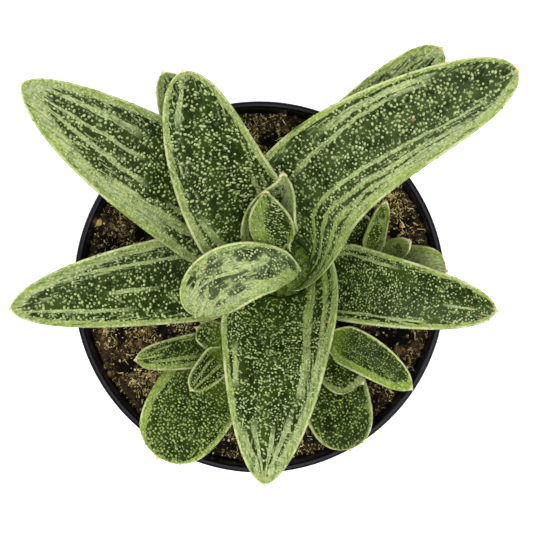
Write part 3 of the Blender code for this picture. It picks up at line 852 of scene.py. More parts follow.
SHEEN = 0.07  # the specular level of waxy skin
DARK_GREEN = (0.0085, 0.0165, 0.0022)
DEEP_GREEN = (0.026, 0.047, 0.0055)
PALE_GREEN = (0.30, 0.36, 0.135)
GREY_GREEN = (0.26, 0.31, 0.145)
FRESH_GREEN = (0.19, 0.275, 0.038)
# the grey of the painted sheen, a reflection put into the colour of the dark ground
PAINTED_SHEEN_GREEN = (0.095, 0.12, 0.060)
LIME_GREEN = (0.115, 0.185, 0.016)
CREAM = (0.52, 0.54, 0.29)
SPOT_PALE = (0.33, 0.40, 0.165)
SPOT_LIME = (0.27, 0.35, 0.09)
SPOT_DIM = (0.13, 0.175, 0.06)
TAN = (0.44, 0.31, 0.14)
SCAB_BROWN = (0.22, 0.11, 0.06)
SCAB_DARK = (0.09, 0.05, 0.03)
UNDER_GREEN = (0.13, 0.17, 0.07)
UNDER_PURPLE = (0.15, 0.12, 0.11)

# Markings: their length along the blade and their breadth across it, in millimetres
STRANDS = (15, 1.9)
THREADS = (5.5, 0.6)
LINES = (16, 0.4)
CLOUDS = (5, 4)
SWAY = (9, 14)
CRUMBS = (0.8, 0.8)
PEBBLES = (1.0, 0.55)
UNDER_STRANDS = (17, 2.2)
UNDER_CLOUDS = (8, 8)
UNDER_PEBBLES = (0.75, 0.75)
FRAY_LONG = 1.8  # millimetres that a band's edge wanders in long strands
FRAY_SHORT = 1.2  # and in single crumbs
STREAK_FADE = 0.04  # share of the blade's length over which a streak's ends fade
FRECKLES = 0.5  # how strong the flat dots between the raised ones are


def warped(finish, net, amount):
    """Shifts coordinates about, so that cells drawn in them lose their roundness."""
    shift = finish.node("ShaderNodeTexNoise", {}, {"Vector": net, "Scale": 0.8, "Detail": 2.0}, "Color")
    return finish.vector("ADD", net, finish.vector("MULTIPLY", shift, (amount, amount, 0.0)))


def stretched(finish, lie, size):
    """Coordinates on the blade in which one unit is a marking's length and its breadth."""
    length, breadth = size
    scale = (1 / (length * MM), 1 / (breadth * MM), 1 / (breadth * MM))
    return finish.vector("MULTIPLY", lie, scale)


def marking(finish, lie, size, detail=3.0, roughness=0.5):
    """Soft patches as long and as broad as their size."""
    return finish.noise(stretched(finish, lie, size), 1.0, detail, roughness)


def streak(along, share, spread, start, first, end, last, width):
    """A pale line along the blade, with faded ends. Spread over 1 thins it."""
    centre = along.step(start, end) * (last - first) + first
    body = ((share - centre).math("ABSOLUTE") * spread).step(width * 1.1, width * 0.8)
    faded_in = along.step(start - STREAK_FADE, start + STREAK_FADE)
    faded_out = along.step(end + STREAK_FADE, end - STREAK_FADE)
    return body * faded_in * faded_out


class LeafSkin(Finish):
    """The finish of a leaf's upper face, with the patterns that all its markings are drawn from.

    The steps' bare numbers are thresholds on those patterns, whose values lie about 0.5.
    """

    def __init__(self, name, leaf):
        super().__init__(name, specular=SHEEN)
        self.leaf = leaf
        self.along = self.attribute("along")
        self.share = self.attribute("share")
        self.inset = self.attribute("inset")
        self.lie = self.attribute("lie", "Vector")
        self.strands = marking(self, self.lie, STRANDS, 4.0, 0.6)
        self.threads = marking(self, self.lie, THREADS, 3.0, 0.6)
        self.lines = marking(self, self.lie, LINES, 2.0)
        self.clouds = marking(self, self.lie, CLOUDS)
        self.sway = marking(self, self.lie, SWAY, 2.0)
        self.crumbs = marking(self, self.lie, CRUMBS, 2.0, 0.6)
        self.pebbles = self.cells(warped(self, stretched(self, self.lie, PEBBLES), 0.8), 1.0)

    def band(self):
        """The width of the pale band on this side of the blade, in millimetres."""
        left_base, left_tip, right_base, right_tip = self.leaf["margin"]
        left = self.along * (left_tip - left_base) + left_base
        right = self.along * (right_tip - right_base) + right_base
        return left + (right - left) * self.share.step(-0.05, 0.05)

    def pale_parts(self):
        """1 on the frayed margins, the tip and the streaks, and 0 on the dark ground."""
        band = self.band()
        frayed = self.inset + (self.strands - 0.5) * FRAY_LONG + (self.crumbs - 0.5) * FRAY_SHORT
        pale = (frayed / band).step(1.05, 0.85)
        tip = self.along + (self.threads - 0.5) * 0.2 + (self.crumbs - 0.5) * 0.08
        pale = pale.most(tip.step(self.leaf["tip"] - 0.01, self.leaf["tip"] + 0.03))
        wobble = (self.strands - 0.5) * 0.09 + (self.crumbs - 0.5) * 0.07 + (self.sway - 0.5) * 0.16
        share = self.share + wobble
        spread = 1.6 - self.clouds * 1.1
        for line in self.leaf["streaks"]:
            pale = pale.most(streak(self.along, share, spread, *line))
        pale = pale.most(self.threads.step(0.56, 0.62) * (self.inset / band).step(3.2, 1.4) * 0.9)
        if self.leaf["tone"]:
            shift = 0.3 * self.leaf["tone"]
            pale = pale.most(self.clouds.step(0.62 - shift, 0.7 - shift))
        return pale * (1 - self.threads.step(0.41, 0.35) * 0.7)

    def freckles(self):
        """Flat pale dots of uneven shape, crowded in the same clouds as the ground's tones."""
        size = SPOT_SPACING * self.leaf["grain"] * self.leaf["spacing"] * 0.9
        net = warped(self, stretched(self, self.lie, (size, size)), 1.6)
        picked = self.cells(net, 1.0, "Color").step(0.46, 0.5)
        crowd = self.clouds.step(0.4, 0.52) * 0.7 + 0.3
        return self.cells(net, 1.0).step(0.42, 0.3) * picked * crowd * FRECKLES

    def dark_flesh(self, lime):
        """The clouded ground, with its painted grey sheen, and lime where the leaf is young."""
        flesh = self.mix(self.clouds.step(0.32, 0.68), DARK_GREEN, DEEP_GREEN)
        # painted sheen: a grey reflection laid over the dark ground in clouds
        if self.leaf["painted_sheen"]:
            flesh = self.mix(self.clouds.step(0.3, 0.62) * self.leaf["painted_sheen"], flesh, PAINTED_SHEEN_GREEN)
        return self.mix(lime * 0.8, flesh, LIME_GREEN)

    def pale_flesh(self):
        """Grey-green in strands, fresher at the stem and the margins, pebbled and finely lined."""
        fresh, deep = self.leaf["fresh"], self.leaf["deep"]
        flesh = self.mix(self.strands.step(0.38, 0.6), PALE_GREEN, GREY_GREEN)
        growing = self.along.step(0.55, 0.0).most(self.inset.step(2.4, 0.6))
        flesh = self.mix(growing * (1 - fresh) * 0.7 + fresh, flesh, FRESH_GREEN)
        if deep:
            flesh = self.mix(deep, flesh, LIME_GREEN)
        flesh = self.mix(self.pebbles.step(0.38, 0.12) * 0.55, flesh, CREAM)
        grooves = self.pebbles.step(0.45, 0.8) * 0.3 + self.lines.step(0.5, 0.34) * 0.3
        return self.mix(grooves, flesh, DEEP_GREEN)

    def hemmed(self, colour):
        """Adds the thin worn hem of the margins."""
        hem = (self.inset + (self.crumbs - 0.5) * 0.5).step(0.4, 0.15)
        return self.mix(hem * self.strands.step(0.35, 0.6) * 0.7, colour, CREAM)

    def withered(self, colour):
        """Adds the dry brown point, where the leaf has one."""
        if not self.leaf["dry"]:
            return colour
        dried = (self.along + (self.threads - 0.5) * 0.06).step(self.leaf["dry"], self.leaf["dry"] + 0.02)
        return self.mix(dried * 0.85, colour, TAN)


def leaf_skin(name, leaf):
    """Dark green and freckled, with pale margins, streaks and tip, and lime flesh at the base."""
    skin = LeafSkin(f"{name}_skin", leaf)
    pale = skin.pale_parts()
    freckles = skin.freckles()
    lime = skin.along.step(leaf["lime"], 0.0).most(leaf["young"])
    freckled = skin.mix(freckles, skin.dark_flesh(lime), skin.mix(lime * 0.4, SPOT_PALE, LIME_GREEN))
    skin.colour(skin.withered(skin.hemmed(skin.mix(pale, freckled, skin.pale_flesh()))))
    skin.rough(0.4 + pale * 0.12 + (skin.clouds - 0.5) * 0.15)
    skin.bump(freckles * 0.8 + (1 - skin.pebbles) * pale * 0.7 + skin.strands * 0.4, 0.16, 0.7)
    return skin.material


def leaf_underside(name):
    """The lower face: paler and greyer, with long soft streaks."""
    finish = Finish(name, specular=SHEEN)
    lie = finish.attribute("lie", "Vector")
    strands = marking(finish, lie, UNDER_STRANDS, 4.0, 0.6)
    clouds = marking(finish, lie, UNDER_CLOUDS)
    pebbles = finish.cells(stretched(finish, lie, UNDER_PEBBLES), 1.0)
    colour = finish.mix(strands.step(0.4, 0.62), UNDER_GREEN, DEEP_GREEN)
    colour = finish.mix(clouds.step(0.52, 0.7) * 0.5, colour, UNDER_PURPLE)
    colour = finish.mix(pebbles.step(0.45, 0.2) * 0.6, colour, PALE_GREEN)
    colour = finish.mix(finish.attribute("inset").step(1.6, 0.4), colour, PALE_GREEN)
    colour = finish.mix(finish.attribute("along").step(0.25, 0.0) * 0.7, colour, LIME_GREEN)
    finish.colour(colour)
    finish.rough(0.42 + (strands - 0.5) * 0.2)
    finish.bump(pebbles * -0.6 + strands * 0.6, 0.12, 0.6)
    return finish.material


def spot_finish(name, pale):
    """Raised dots: pale on the open blade, greener towards its base."""
    finish = Finish(name, specular=SHEEN)
    tint = finish.noise(finish.place(), 620.0, 2.0)
    colour = finish.mix(tint.step(0.42, 0.66), pale, SPOT_DIM)
    colour = finish.mix(finish.attribute("along").step(0.26, 0.0) * 0.6, colour, LIME_GREEN)
    finish.colour(colour)
    finish.rough(0.46 + tint * 0.1)
    return finish.material


def point_finish():
    """The hard point at a leaf's tip."""
    finish = Finish("leaf_point", roughness=0.6)
    tint = finish.noise(finish.place(), 1400.0)
    finish.colour(finish.mix(tint.step(0.35, 0.65), CREAM, TAN))
    finish.bump(tint, 0.1)
    return finish.material


def scar_finish():
    """Dry brown scabs."""
    finish = Finish("leaf_scar", roughness=0.75, specular=SHEEN)
    tint = finish.noise(finish.place(), 1100.0)
    finish.colour(finish.mix(tint.step(0.3, 0.7), SCAB_BROWN, SCAB_DARK))
    finish.bump(tint, 0.12)
    return finish.material


def make_leaf(name, stem, leaf, seed, shared):
    """One leaf: its blade, its scabs and its raised dots. The seed is its place in the order of leaves."""
    stations = leaf_stations(stem, leaf)
    mesh = blade_mesh(name, leaf, stations, seed)
    add_scars(mesh, leaf, stations)
    for material in (leaf_skin(name, leaf), *shared["blade"]):
        mesh.materials.append(material)
    obj = object_of(name, mesh)
    use_tree(obj, shared["tree"], {
        "Spacing": SPOT_SPACING * MM * leaf["grain"] * leaf["spacing"],
        "Radius": SPOT_RADIUS * MM * leaf["grain"] * leaf["spot"],
        "Longest": leaf["longest"],
        "Least": leaf["least"],
        "Nearest": leaf["nearest"],
        "Seed": seed,
        "Finish": leaf["dots"],
    })
    settle(obj)
    return obj


def make_leaves():
    """All leaves, each a piece of its own, which share all finishes but their skin."""
    shared = {
        "blade": (leaf_underside("leaf_underside"), point_finish(), scar_finish()),
        "tree": spots_tree(),
    }
    main_spots = spot_finish("leaf_spots", SPOT_PALE)
    offset_spots = spot_finish("offset_leaf_spots", SPOT_LIME)
    seed = 0
    for name, words in MAIN_LEAVES.items():
        words = {**MAIN_BUILD, **words, "dots": main_spots}
        leaf = make_leaf(f"{name}_blade", STEMS["main_stem"], words, seed, shared)
        dress(leaf, name)
        seed += 1
    for stem_name, leaves in OFFSET_LEAVES.items():
        for name, words in leaves.items():
            words = {**OFFSET_BUILD, **words, "dots": offset_spots}
            leaf = make_leaf(f"{name}_blade", STEMS[stem_name], words, seed, shared)
            dress(leaf, name)
            seed += 1


# Stems

MERGE_DISTANCE = 0.01
SHEATH_OLIVE = (0.13, 0.12, 0.045)
SHEATH_BROWN = (0.09, 0.05, 0.022)
SHEATH_TAN = (0.22, 0.17, 0.09)
STEM_GREEN = (0.05, 0.09, 0.010)
SHEATH_TOP = (26, 18)  # how far under the stem's top the sheaths give way to flesh, in millimetres
HEART_SHADE = (2.5, 0.5)  # and where the growing point lies in painted shade


def turned(name, profile, steps):
    """A solid of revolution. The profile of (radius, height) runs down its outer side to the axis."""
    mesh = bpy.data.meshes.new(name)
    points = [(radius * MM, 0, height * MM) for radius, height in profile]
    mesh.from_pydata(points, [(i, i + 1) for i in range(len(points) - 1)], [])
    obj = object_of(name, mesh, smooth=False)
    screw = obj.modifiers.new("turn", "SCREW")
    screw.steps = screw.render_steps = steps
    screw.use_merge_vertices = True
    screw.merge_threshold = MERGE_DISTANCE * MM
    settle(obj)
    obj.data.shade_smooth()
    return obj


def stem_finish(name, stem):
    """Brown sheaths near the soil, green flesh above, streaks that run up to the growing point, and painted
    shade on it.
    """
    finish = Finish(name, specular=SHEEN)
    place = finish.vector("SUBTRACT", finish.place(), Vector((*stem["at"], 0)) * MM)
    x = finish.split(place)
    y, z = x.beside("Y"), x.beside("Z")
    rings = finish.noise(finish.vector("MULTIPLY", place, (60.0, 60.0, 900.0)), 1.0, 4.0, 0.6)
    blotches = finish.noise(place, 220.0)
    streaks = finish.noise(finish.combine(y.math("ARCTAN2", x) * 5.0, z * 40.0), 1.0, 3.0, 0.6)
    spots = finish.cells(place, 1000.0)
    low, high = (stem["top"] * MM - depth * MM for depth in SHEATH_TOP)
    shade_low, shade_high = (stem["top"] * MM - depth * MM for depth in HEART_SHADE)
    sheath = finish.mix(rings.step(0.42, 0.6), SHEATH_OLIVE, SHEATH_BROWN)
    sheath = finish.mix(blotches.step(0.5, 0.66), sheath, SHEATH_TAN)
    flesh = finish.mix(blotches.step(0.4, 0.6), DEEP_GREEN, STEM_GREEN)
    flesh = finish.mix(spots.step(0.38, 0.26) * 0.5, flesh, SPOT_PALE)
    flesh = finish.mix(streaks.step(0.5, 0.58) * 0.45, flesh, FRESH_GREEN)
    # painted shade: the growing point turns nearly black, as the shade deep among the leaves
    flesh = finish.mix(z.step(shade_low, shade_high) * 0.9, flesh, SOIL_DARK)
    finish.colour(finish.mix(z.step(low, high), sheath, flesh))
    finish.rough(0.55 + (rings - 0.5) * 0.3)
    finish.bump(rings * z.step(high, low) + streaks, 0.4)
    return finish.material


def make_stem(name, stem, material):
    """A short stem, ringed by the scars of old leaves."""
    top, neck, radius, foot = stem["top"], stem["neck"], stem["radius"], stem["foot"]
    profile = [(0, top)]
    for i in range(STEM_RINGS + 1):
        level = top + (SOIL_LEVEL - top) * i / STEM_RINGS
        dent = SCAR_DEPTH * (1 - math.cos(math.tau * (level - SOIL_LEVEL) / SCAR_PITCH))
        swell = SHEATH_SWELL * smooth_step(top, top - SHEATH_START, level)
        profile.append((stem_radius(stem, level) + swell - dent, level))
    profile += [(ROOT_SHOULDER * radius, foot + neck), (ROOT_END * radius, foot), (0, foot)]
    obj = turned(f"{name}_ringed", profile, STEM_STEPS)
    for vertex in obj.data.vertices:
        flat = Vector((vertex.co.x, vertex.co.y, 0))
        vertex.co -= flat * STEM_DENT * abs(noise.noise(vertex.co / (STEM_DENT_SIZE * MM)))
    obj.data.transform(Matrix.Translation(Vector((*stem["at"], 0)) * MM))
    obj.data.materials.append(material)
    return obj


def make_stems():
    """The rosette's stem and those of the three offsets."""
    for name, stem in STEMS.items():
        dress(make_stem(name, stem, stem_finish(f"{name}_skin", stem)), name)


# Pot

POT_BLACK = (0.002, 0.002, 0.005)
POT_DUST = (0.011, 0.010, 0.010)
POT_SCUFF = (0.03, 0.032, 0.045)


def inner_body():
    """The pot's inside wall under its ledge, as (radius, height) at the floor and at the ledge."""
    floor = FLOOR_RISE + WALL
    ledge = POT_HEIGHT - COLLAR_HEIGHT - LEDGE_DROP + WALL / 2
    top_radius = RIM_RADIUS - RIM_OVERHANG - COLLAR_TAPER - LEDGE_WIDTH - WALL
    return (BASE_RADIUS - WALL + BASE_CHAMFER / 2, floor), (top_radius, ledge)


def inner_radius(height):
    """The inside wall's radius at a height under the ledge."""
    (low_radius, low), (top_radius, top) = inner_body()
    return low_radius + (top_radius - low_radius) * (height - low) / (top - low)


def arc(centre, radius, first, last, steps=LIP_STEPS):
    """Points on a circle, from one angle to another in degrees."""
    turns = [math.radians(first + (last - first) * i / steps) for i in range(steps + 1)]
    return [(centre[0] + radius * math.cos(a), centre[1] + radius * math.sin(a)) for a in turns]


def collar_foot_inside():
    """The inner corner at the collar's foot, over the ledge, as (radius, height)."""
    return RIM_RADIUS - RIM_OVERHANG - COLLAR_TAPER - WALL, POT_HEIGHT - COLLAR_HEIGHT + WALL / 2


def pot_profile():
    """From the middle of the floor up the inside, over the lip, down the outside and under the foot."""
    collar = RIM_RADIUS - RIM_OVERHANG
    collar_foot = POT_HEIGHT - COLLAR_HEIGHT
    floor = FLOOR_RISE + WALL
    (floor_radius, _), (ledge_radius, ledge) = inner_body()
    rounding = WALL / 2
    inner_lip = (collar - WALL + rounding, POT_HEIGHT - rounding)
    outer_lip = (RIM_RADIUS - rounding, POT_HEIGHT - rounding)
    rim_corner = (RIM_RADIUS - RIM_ROUNDING, POT_HEIGHT - RIM_DEPTH + RIM_ROUNDING)
    return [
        (0, WALL),
        (HUB_RADIUS - WALL, WALL),
        (HUB_RADIUS - WALL / 2, floor),
        (floor_radius - rounding, floor),
        (floor_radius, floor + rounding),
        (ledge_radius, ledge - LEDGE_ROUNDING),
        (ledge_radius + LEDGE_ROUNDING, ledge),
        (collar - COLLAR_TAPER - WALL - LEDGE_ROUNDING, collar_foot + rounding),
        (collar - COLLAR_TAPER - WALL, collar_foot + rounding + LEDGE_ROUNDING),
        (collar - WALL, POT_HEIGHT - RIM_DEPTH),
        *arc(inner_lip, rounding, 180, 90),
        *arc(outer_lip, rounding, 90, 0),
        (RIM_RADIUS, POT_HEIGHT - RIM_DEPTH + rounding),
        *arc(rim_corner, RIM_ROUNDING, 0, -90, 3),
        (collar, POT_HEIGHT - RIM_DEPTH - RIM_CHAMFER),
        (collar - COLLAR_TAPER, collar_foot + COLLAR_ROUNDING),
        (collar - COLLAR_TAPER - COLLAR_ROUNDING, collar_foot),
        (collar - COLLAR_TAPER - LEDGE_WIDTH, collar_foot - LEDGE_DROP),
        (BASE_RADIUS + BASE_CHAMFER, FLOOR_RISE),
        (BASE_RADIUS, 0),
        (BASE_RADIUS - FOOT_WIDTH, 0),
        (BASE_RADIUS - FOOT_WIDTH - rounding, FLOOR_RISE),
        (HUB_RADIUS + rounding, FLOOR_RISE),
        (HUB_RADIUS, 0),
        (0, 0),
    ]


def pot_finish():
    """Black polypropylene: satin, faintly rippled from the mould, scuffed and dusty in places."""
    finish = Finish("pot_plastic", specular=0.1)
    place = finish.place()
    ripple = finish.noise(finish.vector("MULTIPLY", place, (90.0, 90.0, 40.0)), 1.0, 2.0)
    dust = finish.noise(place, 900.0, 5.0, 0.7)
    scuffs = finish.noise(finish.vector("MULTIPLY", place, (500.0, 500.0, 60.0)), 1.0, 4.0, 0.65)
    colour = finish.mix(dust.step(0.5, 0.8) * 0.5, POT_BLACK, POT_DUST)
    colour = finish.mix(scuffs.step(0.62, 0.72) * 0.3, colour, POT_SCUFF)
    finish.colour(colour)
    finish.rough(0.27 + dust * 0.16 + scuffs.step(0.6, 0.7) * 0.12)
    finish.bump(ripple * 0.6 + dust * 0.25, 0.12, 0.5)
    return finish.material


def drain_cutter(at):
    """A cylinder through the floor, for one drain hole."""
    height = 2 * (FLOOR_RISE + WALL)
    shape = bmesh.new()
    bmesh.ops.create_cone(
        shape, cap_ends=True, segments=DRAIN_STEPS, radius1=DRAIN_RADIUS * MM, radius2=DRAIN_RADIUS * MM,
        depth=height * MM,
    )
    cutter = object_of("drain_cutter", mesh_of("drain_cutter", shape), smooth=False)
    cutter.location = Vector((*at, height / 2)) * MM
    return cutter


def notch_cutter(at, turn):
    """A block across the foot ring, for one notch."""
    shape = bmesh.new()
    bmesh.ops.create_cube(shape, size=1)
    sides = Vector((3 * FOOT_WIDTH, NOTCH_WIDTH, 2 * NOTCH_HEIGHT))
    bmesh.ops.scale(shape, vec=sides * MM, verts=shape.verts)
    cutter = object_of("notch_cutter", mesh_of("notch_cutter", shape), smooth=False)
    cutter.location = Vector((*at, 0)) * MM
    cutter.rotation_euler.z = turn
    return cutter


def on_circle(radius, angle):
    """A place in plan."""
    return radius * math.cos(angle), radius * math.sin(angle)


def make_pot():
    """The pot in one piece, with its drain holes and the notches of its foot ring cut out."""
    pot = turned("nursery_pot", pot_profile(), POT_STEPS)
    cutters = []
    for i in range(DRAIN_COUNT):
        cutters.append(drain_cutter(on_circle(DRAIN_CIRCLE, math.tau * i / DRAIN_COUNT)))
    for i in range(NOTCH_COUNT):
        angle = math.tau * (i + 0.5) / NOTCH_COUNT
        cutters.append(notch_cutter(on_circle(BASE_RADIUS - FOOT_WIDTH / 2, angle), angle))
    for cutter in cutters:
        boolean = pot.modifiers.new("cut", "BOOLEAN")
        boolean.operation = "DIFFERENCE"
        boolean.solver = "EXACT"
        boolean.object = cutter
    settle(pot)
    for cutter in cutters:
        bpy.data.objects.remove(cutter)
    pot.data.shade_smooth()
    pot.data.set_sharp_from_angle(angle=math.radians(POT_CREASE))
    pot.data.materials.clear()
    pot.data.materials.append(pot_finish())
    dress(pot, "pot")


# Soil

# SOIL_DARK and SOIL_BROWN are darker than the peat's own colour: the shade inside the pot is painted into
# them
SOIL_DARK = (0.004, 0.0024, 0.0012)
SOIL_BROWN = (0.055, 0.032, 0.013)
SOIL_UMBER = (0.19, 0.12, 0.045)
SOIL_GOLD = (0.72, 0.52, 0.17)
SOIL_STRAW = (0.95, 0.83, 0.42)
SOIL_MOSS = (0.72, 0.65, 0.14)
PERLITE_WHITE = (0.78, 0.74, 0.66)
PERLITE_GREY = (0.5, 0.47, 0.4)

# The litter on the soil, from below to the top. density is in pieces on a square metre before they are
# thinned out, size is the smallest and the largest, tilt is in radians either way, patchy is how much they
# crowd in patches, and on_lumps how much they keep to the lumps. finish gives its name, its two colours and
# how finely they change.
LITTER = (
    dict(
        shape="clods", density=16000.0, size=(0.8, 2.0), tilt=3.0, lift=0.0, patchy=0.4, on_lumps=0.4,
        finish=("soil_clods", SOIL_DARK, SOIL_UMBER, 500.0),
    ),
    dict(
        shape="crumbs", density=300000.0, size=(0.25, 0.8), tilt=3.0, lift=0.1, patchy=0.3, on_lumps=0.5,
        finish=("soil_crumbs", SOIL_DARK, SOIL_UMBER, 500.0),
    ),
    dict(
        shape="crumbs", density=500000.0, size=(0.12, 0.4), tilt=3.0, lift=0.4, patchy=0.6, on_lumps=0.8,
        finish=("soil_grit", SOIL_UMBER, SOIL_STRAW, 500.0),
    ),
    dict(
        shape="chips", density=26000.0, size=(0.4, 1.2), tilt=1.2, lift=0.5, patchy=0.8, on_lumps=0.6,
        finish=("soil_bark", SOIL_UMBER, SOIL_GOLD, 300.0),
    ),
    dict(
        shape="fibres", density=220000.0, size=(0.4, 1.5), tilt=0.9, lift=0.5, patchy=0.6, on_lumps=0.8,
        finish=("soil_fibres", SOIL_GOLD, SOIL_STRAW, 260.0),
    ),
    dict(
        shape="curls", density=1500000.0, size=(0.3, 0.85), tilt=1.5, lift=0.6, patchy=0.9, on_lumps=0.9,
        finish=("soil_moss", SOIL_MOSS, SOIL_STRAW, 260.0),
    ),
)


def soil_share(x, y):
    """How far out a place is, as a share of the soil's radius."""
    return min(math.hypot(x, y) / (collar_foot_inside()[0] - GAP), 1)


def soil_relief(x, y):
    """Lumps and clods, which fade out at the wall."""
    lumps = LUMP_LIFT * noise.noise(Vector((x, y, SOIL_SEED)) / LUMP_SIZE)
    clods = CLOD_LIFT * noise.noise(Vector((x, y, 2 * SOIL_SEED)) / CLOD_SIZE)
    return (lumps + clods) * (1 - smooth_step(RELIEF_END, 1, soil_share(x, y)))


def soil_height(x, y):
    """The soil's surface: a low mound in a raised bank, with its relief."""
    share = soil_share(x, y)
    mean = SOIL_LEVEL + SOIL_MOUND * (1 - share**2) + SOIL_BANK * smooth_step(BANK_START, 1, share)
    return mean + soil_relief(x, y)


def ring_of(shape, radius, level):
    """A ring of vertices round the axis. The level may be a function of the place in plan."""
    row = []
    for k in range(SOIL_STEPS):
        x, y = on_circle(radius, math.tau * k / SOIL_STEPS)
        z = level(x, y) if callable(level) else level
        row.append(shape.verts.new(Vector((x, y, z)) * MM))
    return row


def soil_mesh():
    """The fill of the pot, with a lumpy top."""
    floor = FLOOR_RISE + WALL + GAP
    collar_radius, collar_foot = collar_foot_inside()
    ledge_radius, ledge = inner_body()[1]
    edge = collar_radius - GAP
    shape = bmesh.new()
    rows = [ring_of(shape, edge * i / SOIL_RINGS, soil_height) for i in range(1, SOIL_RINGS + 1)]
    rows.append(ring_of(shape, edge, collar_foot + GAP / 2))
    rows.append(ring_of(shape, ledge_radius - GAP, ledge + GAP / 2))
    rows.append(ring_of(shape, inner_radius(floor + WALL) - GAP, floor + WALL))
    rows.append(ring_of(shape, inner_radius(floor) - WALL, floor))
    for outer, inner in zip(rows[1:], rows):
        for k in range(SOIL_STEPS):
            m = (k + 1) % SOIL_STEPS
            shape.faces.new((inner[k], outer[k], outer[m], inner[m]))
    top = shape.verts.new(Vector((0, 0, soil_height(0, 0))) * MM)
    low = shape.verts.new(Vector((0, 0, floor)) * MM)
    for k in range(SOIL_STEPS):
        m = (k + 1) % SOIL_STEPS
        shape.faces.new((top, rows[0][k], rows[0][m]))
        shape.faces.new((low, rows[-1][m], rows[-1][k]))
    bmesh.ops.recalc_face_normals(shape, faces=shape.faces)
    mesh = mesh_of("soil_fill", shape)
    rise = [smooth_step(-1, 1, soil_relief(*(vertex.co.xy / MM))) for vertex in mesh.vertices]
    mesh.attributes.new("rise", "FLOAT", "POINT").data.foreach_set("value", rise)
    return mesh


def lump_mesh(name, draw, rough, flat, fine=1):
    """An uneven lump about 2 units across."""
    shape = bmesh.new()
    bmesh.ops.create_icosphere(shape, subdivisions=fine, radius=1)
    for vertex in shape.verts:
        vertex.co *= 1 + draw.uniform(-rough, rough)
        vertex.co.z *= flat
    return mesh_of(name, shape)


def fibre_mesh(name, draw, curl):
    """A thin strand about 2 units long that wanders and tapers."""
    shape = bmesh.new()
    place, bearing, climb = Vector((-1, 0, 0)), 0.0, 0.3
    rows = []
    for i in range(FIBRE_STEPS + 1):
        thin = FIBRE_THICK * (1 - 0.6 * i / FIBRE_STEPS)
        ahead = Vector((math.cos(bearing), math.sin(bearing), climb)).normalized()
        side = Vector((-ahead.y, ahead.x, 0)).normalized()
        up = ahead.cross(side)
        turns = [math.tau * k / 3 for k in range(3)]
        rows.append([shape.verts.new(place + thin * (side * math.cos(a) + up * math.sin(a))) for a in turns])
        place = place + ahead * 2 / FIBRE_STEPS
        bearing += draw.uniform(-curl, curl)
        climb += draw.uniform(-0.35, 0.25)
    for first, second in zip(rows, rows[1:]):
        for k in range(3):
            m = (k + 1) % 3
            shape.faces.new((first[k], first[m], second[m], second[k]))
    shape.faces.new(rows[0][::-1])
    shape.faces.new(rows[-1])
    bmesh.ops.recalc_face_normals(shape, faces=shape.faces)
    return mesh_of(name, shape)


def litter_points(tree, given):
    """Places for litter on the soil's top, in patches, and more of them on its lumps."""
    upright = tree.split(tree.node("GeometryNodeInputNormal"), "Z")
    level = tree.split(tree.node("GeometryNodeInputPosition"), "Z")
    on_top = upright.math("GREATER_THAN", LITTER_UPRIGHT)
    on_top = on_top * level.math("GREATER_THAN", (SOIL_LEVEL - LITTER_DEPTH) * MM)
    patches = tree.node("ShaderNodeTexNoise", {"noise_dimensions": "4D"}, {
        "W": given["Seed"] * 1.7, "Scale": 1 / given["Patch"], "Detail": 2.0,
    })
    patches = patches.step(0.44, 0.54) * given["Patchiness"] + (1 - given["Patchiness"])
    lumps = tree.named("rise").step(0.35, 0.7) * given["On lumps"] + (1 - given["On lumps"])
    points = tree.node("GeometryNodeDistributePointsOnFaces", {"distribute_method": "RANDOM"}, {
        "Mesh": given["Geometry"], "Density": given["Per square metre"] * patches * lumps * on_top,
        "Seed": given["Seed"],
    }, "Points")
    lift = tree.combine(z=given["Lift"])
    return tree.node("GeometryNodeSetPosition", {}, {"Geometry": points, "Offset": lift})


def litter_tree():
    """Scatters shapes of a collection over the soil's top, tilted and turned at random."""
    tree, given, output = geometry_tree("soil_litter", {
        "Shapes": ("Collection", None),
        "Per square metre": ("Float", 1000.0),
        "Smallest": ("Float", MM),
        "Largest": ("Float", 2 * MM),
        "Tilt": ("Float", 0.4),
        "Lift": ("Float", 0.0),
        "Patch": ("Float", 10 * MM),
        "Patchiness": ("Float", 0.0),
        "On lumps": ("Float", 0.0),
        "Seed": ("Int", 0),
        "Finish": ("Material", None),
    })
    points = litter_points(tree, given)
    shapes = tree.node("GeometryNodeCollectionInfo", {}, {
        "Collection": given["Shapes"], "Separate Children": True, "Reset Children": True,
    })
    tilt = given["Tilt"]
    low = tree.combine(tilt * -1, tilt * -1)
    high = tree.combine(tilt, tilt, math.tau)
    turn = tree.random("FLOAT_VECTOR", low, high, given["Seed"] + 1)
    size = tree.random("FLOAT", given["Smallest"], given["Largest"], given["Seed"] + 2)
    litter = tree.node("GeometryNodeInstanceOnPoints", {}, {
        "Points": points, "Instance": shapes, "Pick Instance": True, "Rotation": turn, "Scale": size,
    })
    litter = tree.node("GeometryNodeRealizeInstances", {}, {"Geometry": litter})
    litter = tree.node("GeometryNodeSetMaterial", {}, {"Geometry": litter, "Material": given["Finish"]})
    tree.feed(output, litter)
    return tree.tree


def soil_finish():
    """Damp peat: brown crumbs and golden dust, with painted shade that leaves its hollows nearly black."""
    finish = Finish("soil_peat", roughness=0.95, specular=0.2)
    place = finish.place()
    clods = finish.noise(place, 260.0, 5.0, 0.65)
    dust = finish.noise(place, 1100.0, 4.0, 0.7)
    sparks = finish.noise(place, 2100.0, 2.0, 0.6)
    rise = finish.attribute("rise")
    # painted shade: where rise is low, in the hollows, the peat stays nearly black
    colour = finish.mix(clods.step(0.38, 0.62) * rise.step(0.2, 0.6), SOIL_DARK, SOIL_BROWN)
    colour = finish.mix(dust.step(0.54, 0.68) * rise.step(0.35, 0.75) * 0.8, colour, SOIL_UMBER)
    colour = finish.mix(sparks.step(0.62, 0.7) * rise.step(0.3, 0.7) * 0.8, colour, SOIL_GOLD)
    finish.colour(colour)
    finish.bump(dust * 0.7 + clods, 0.8)
    return finish.material


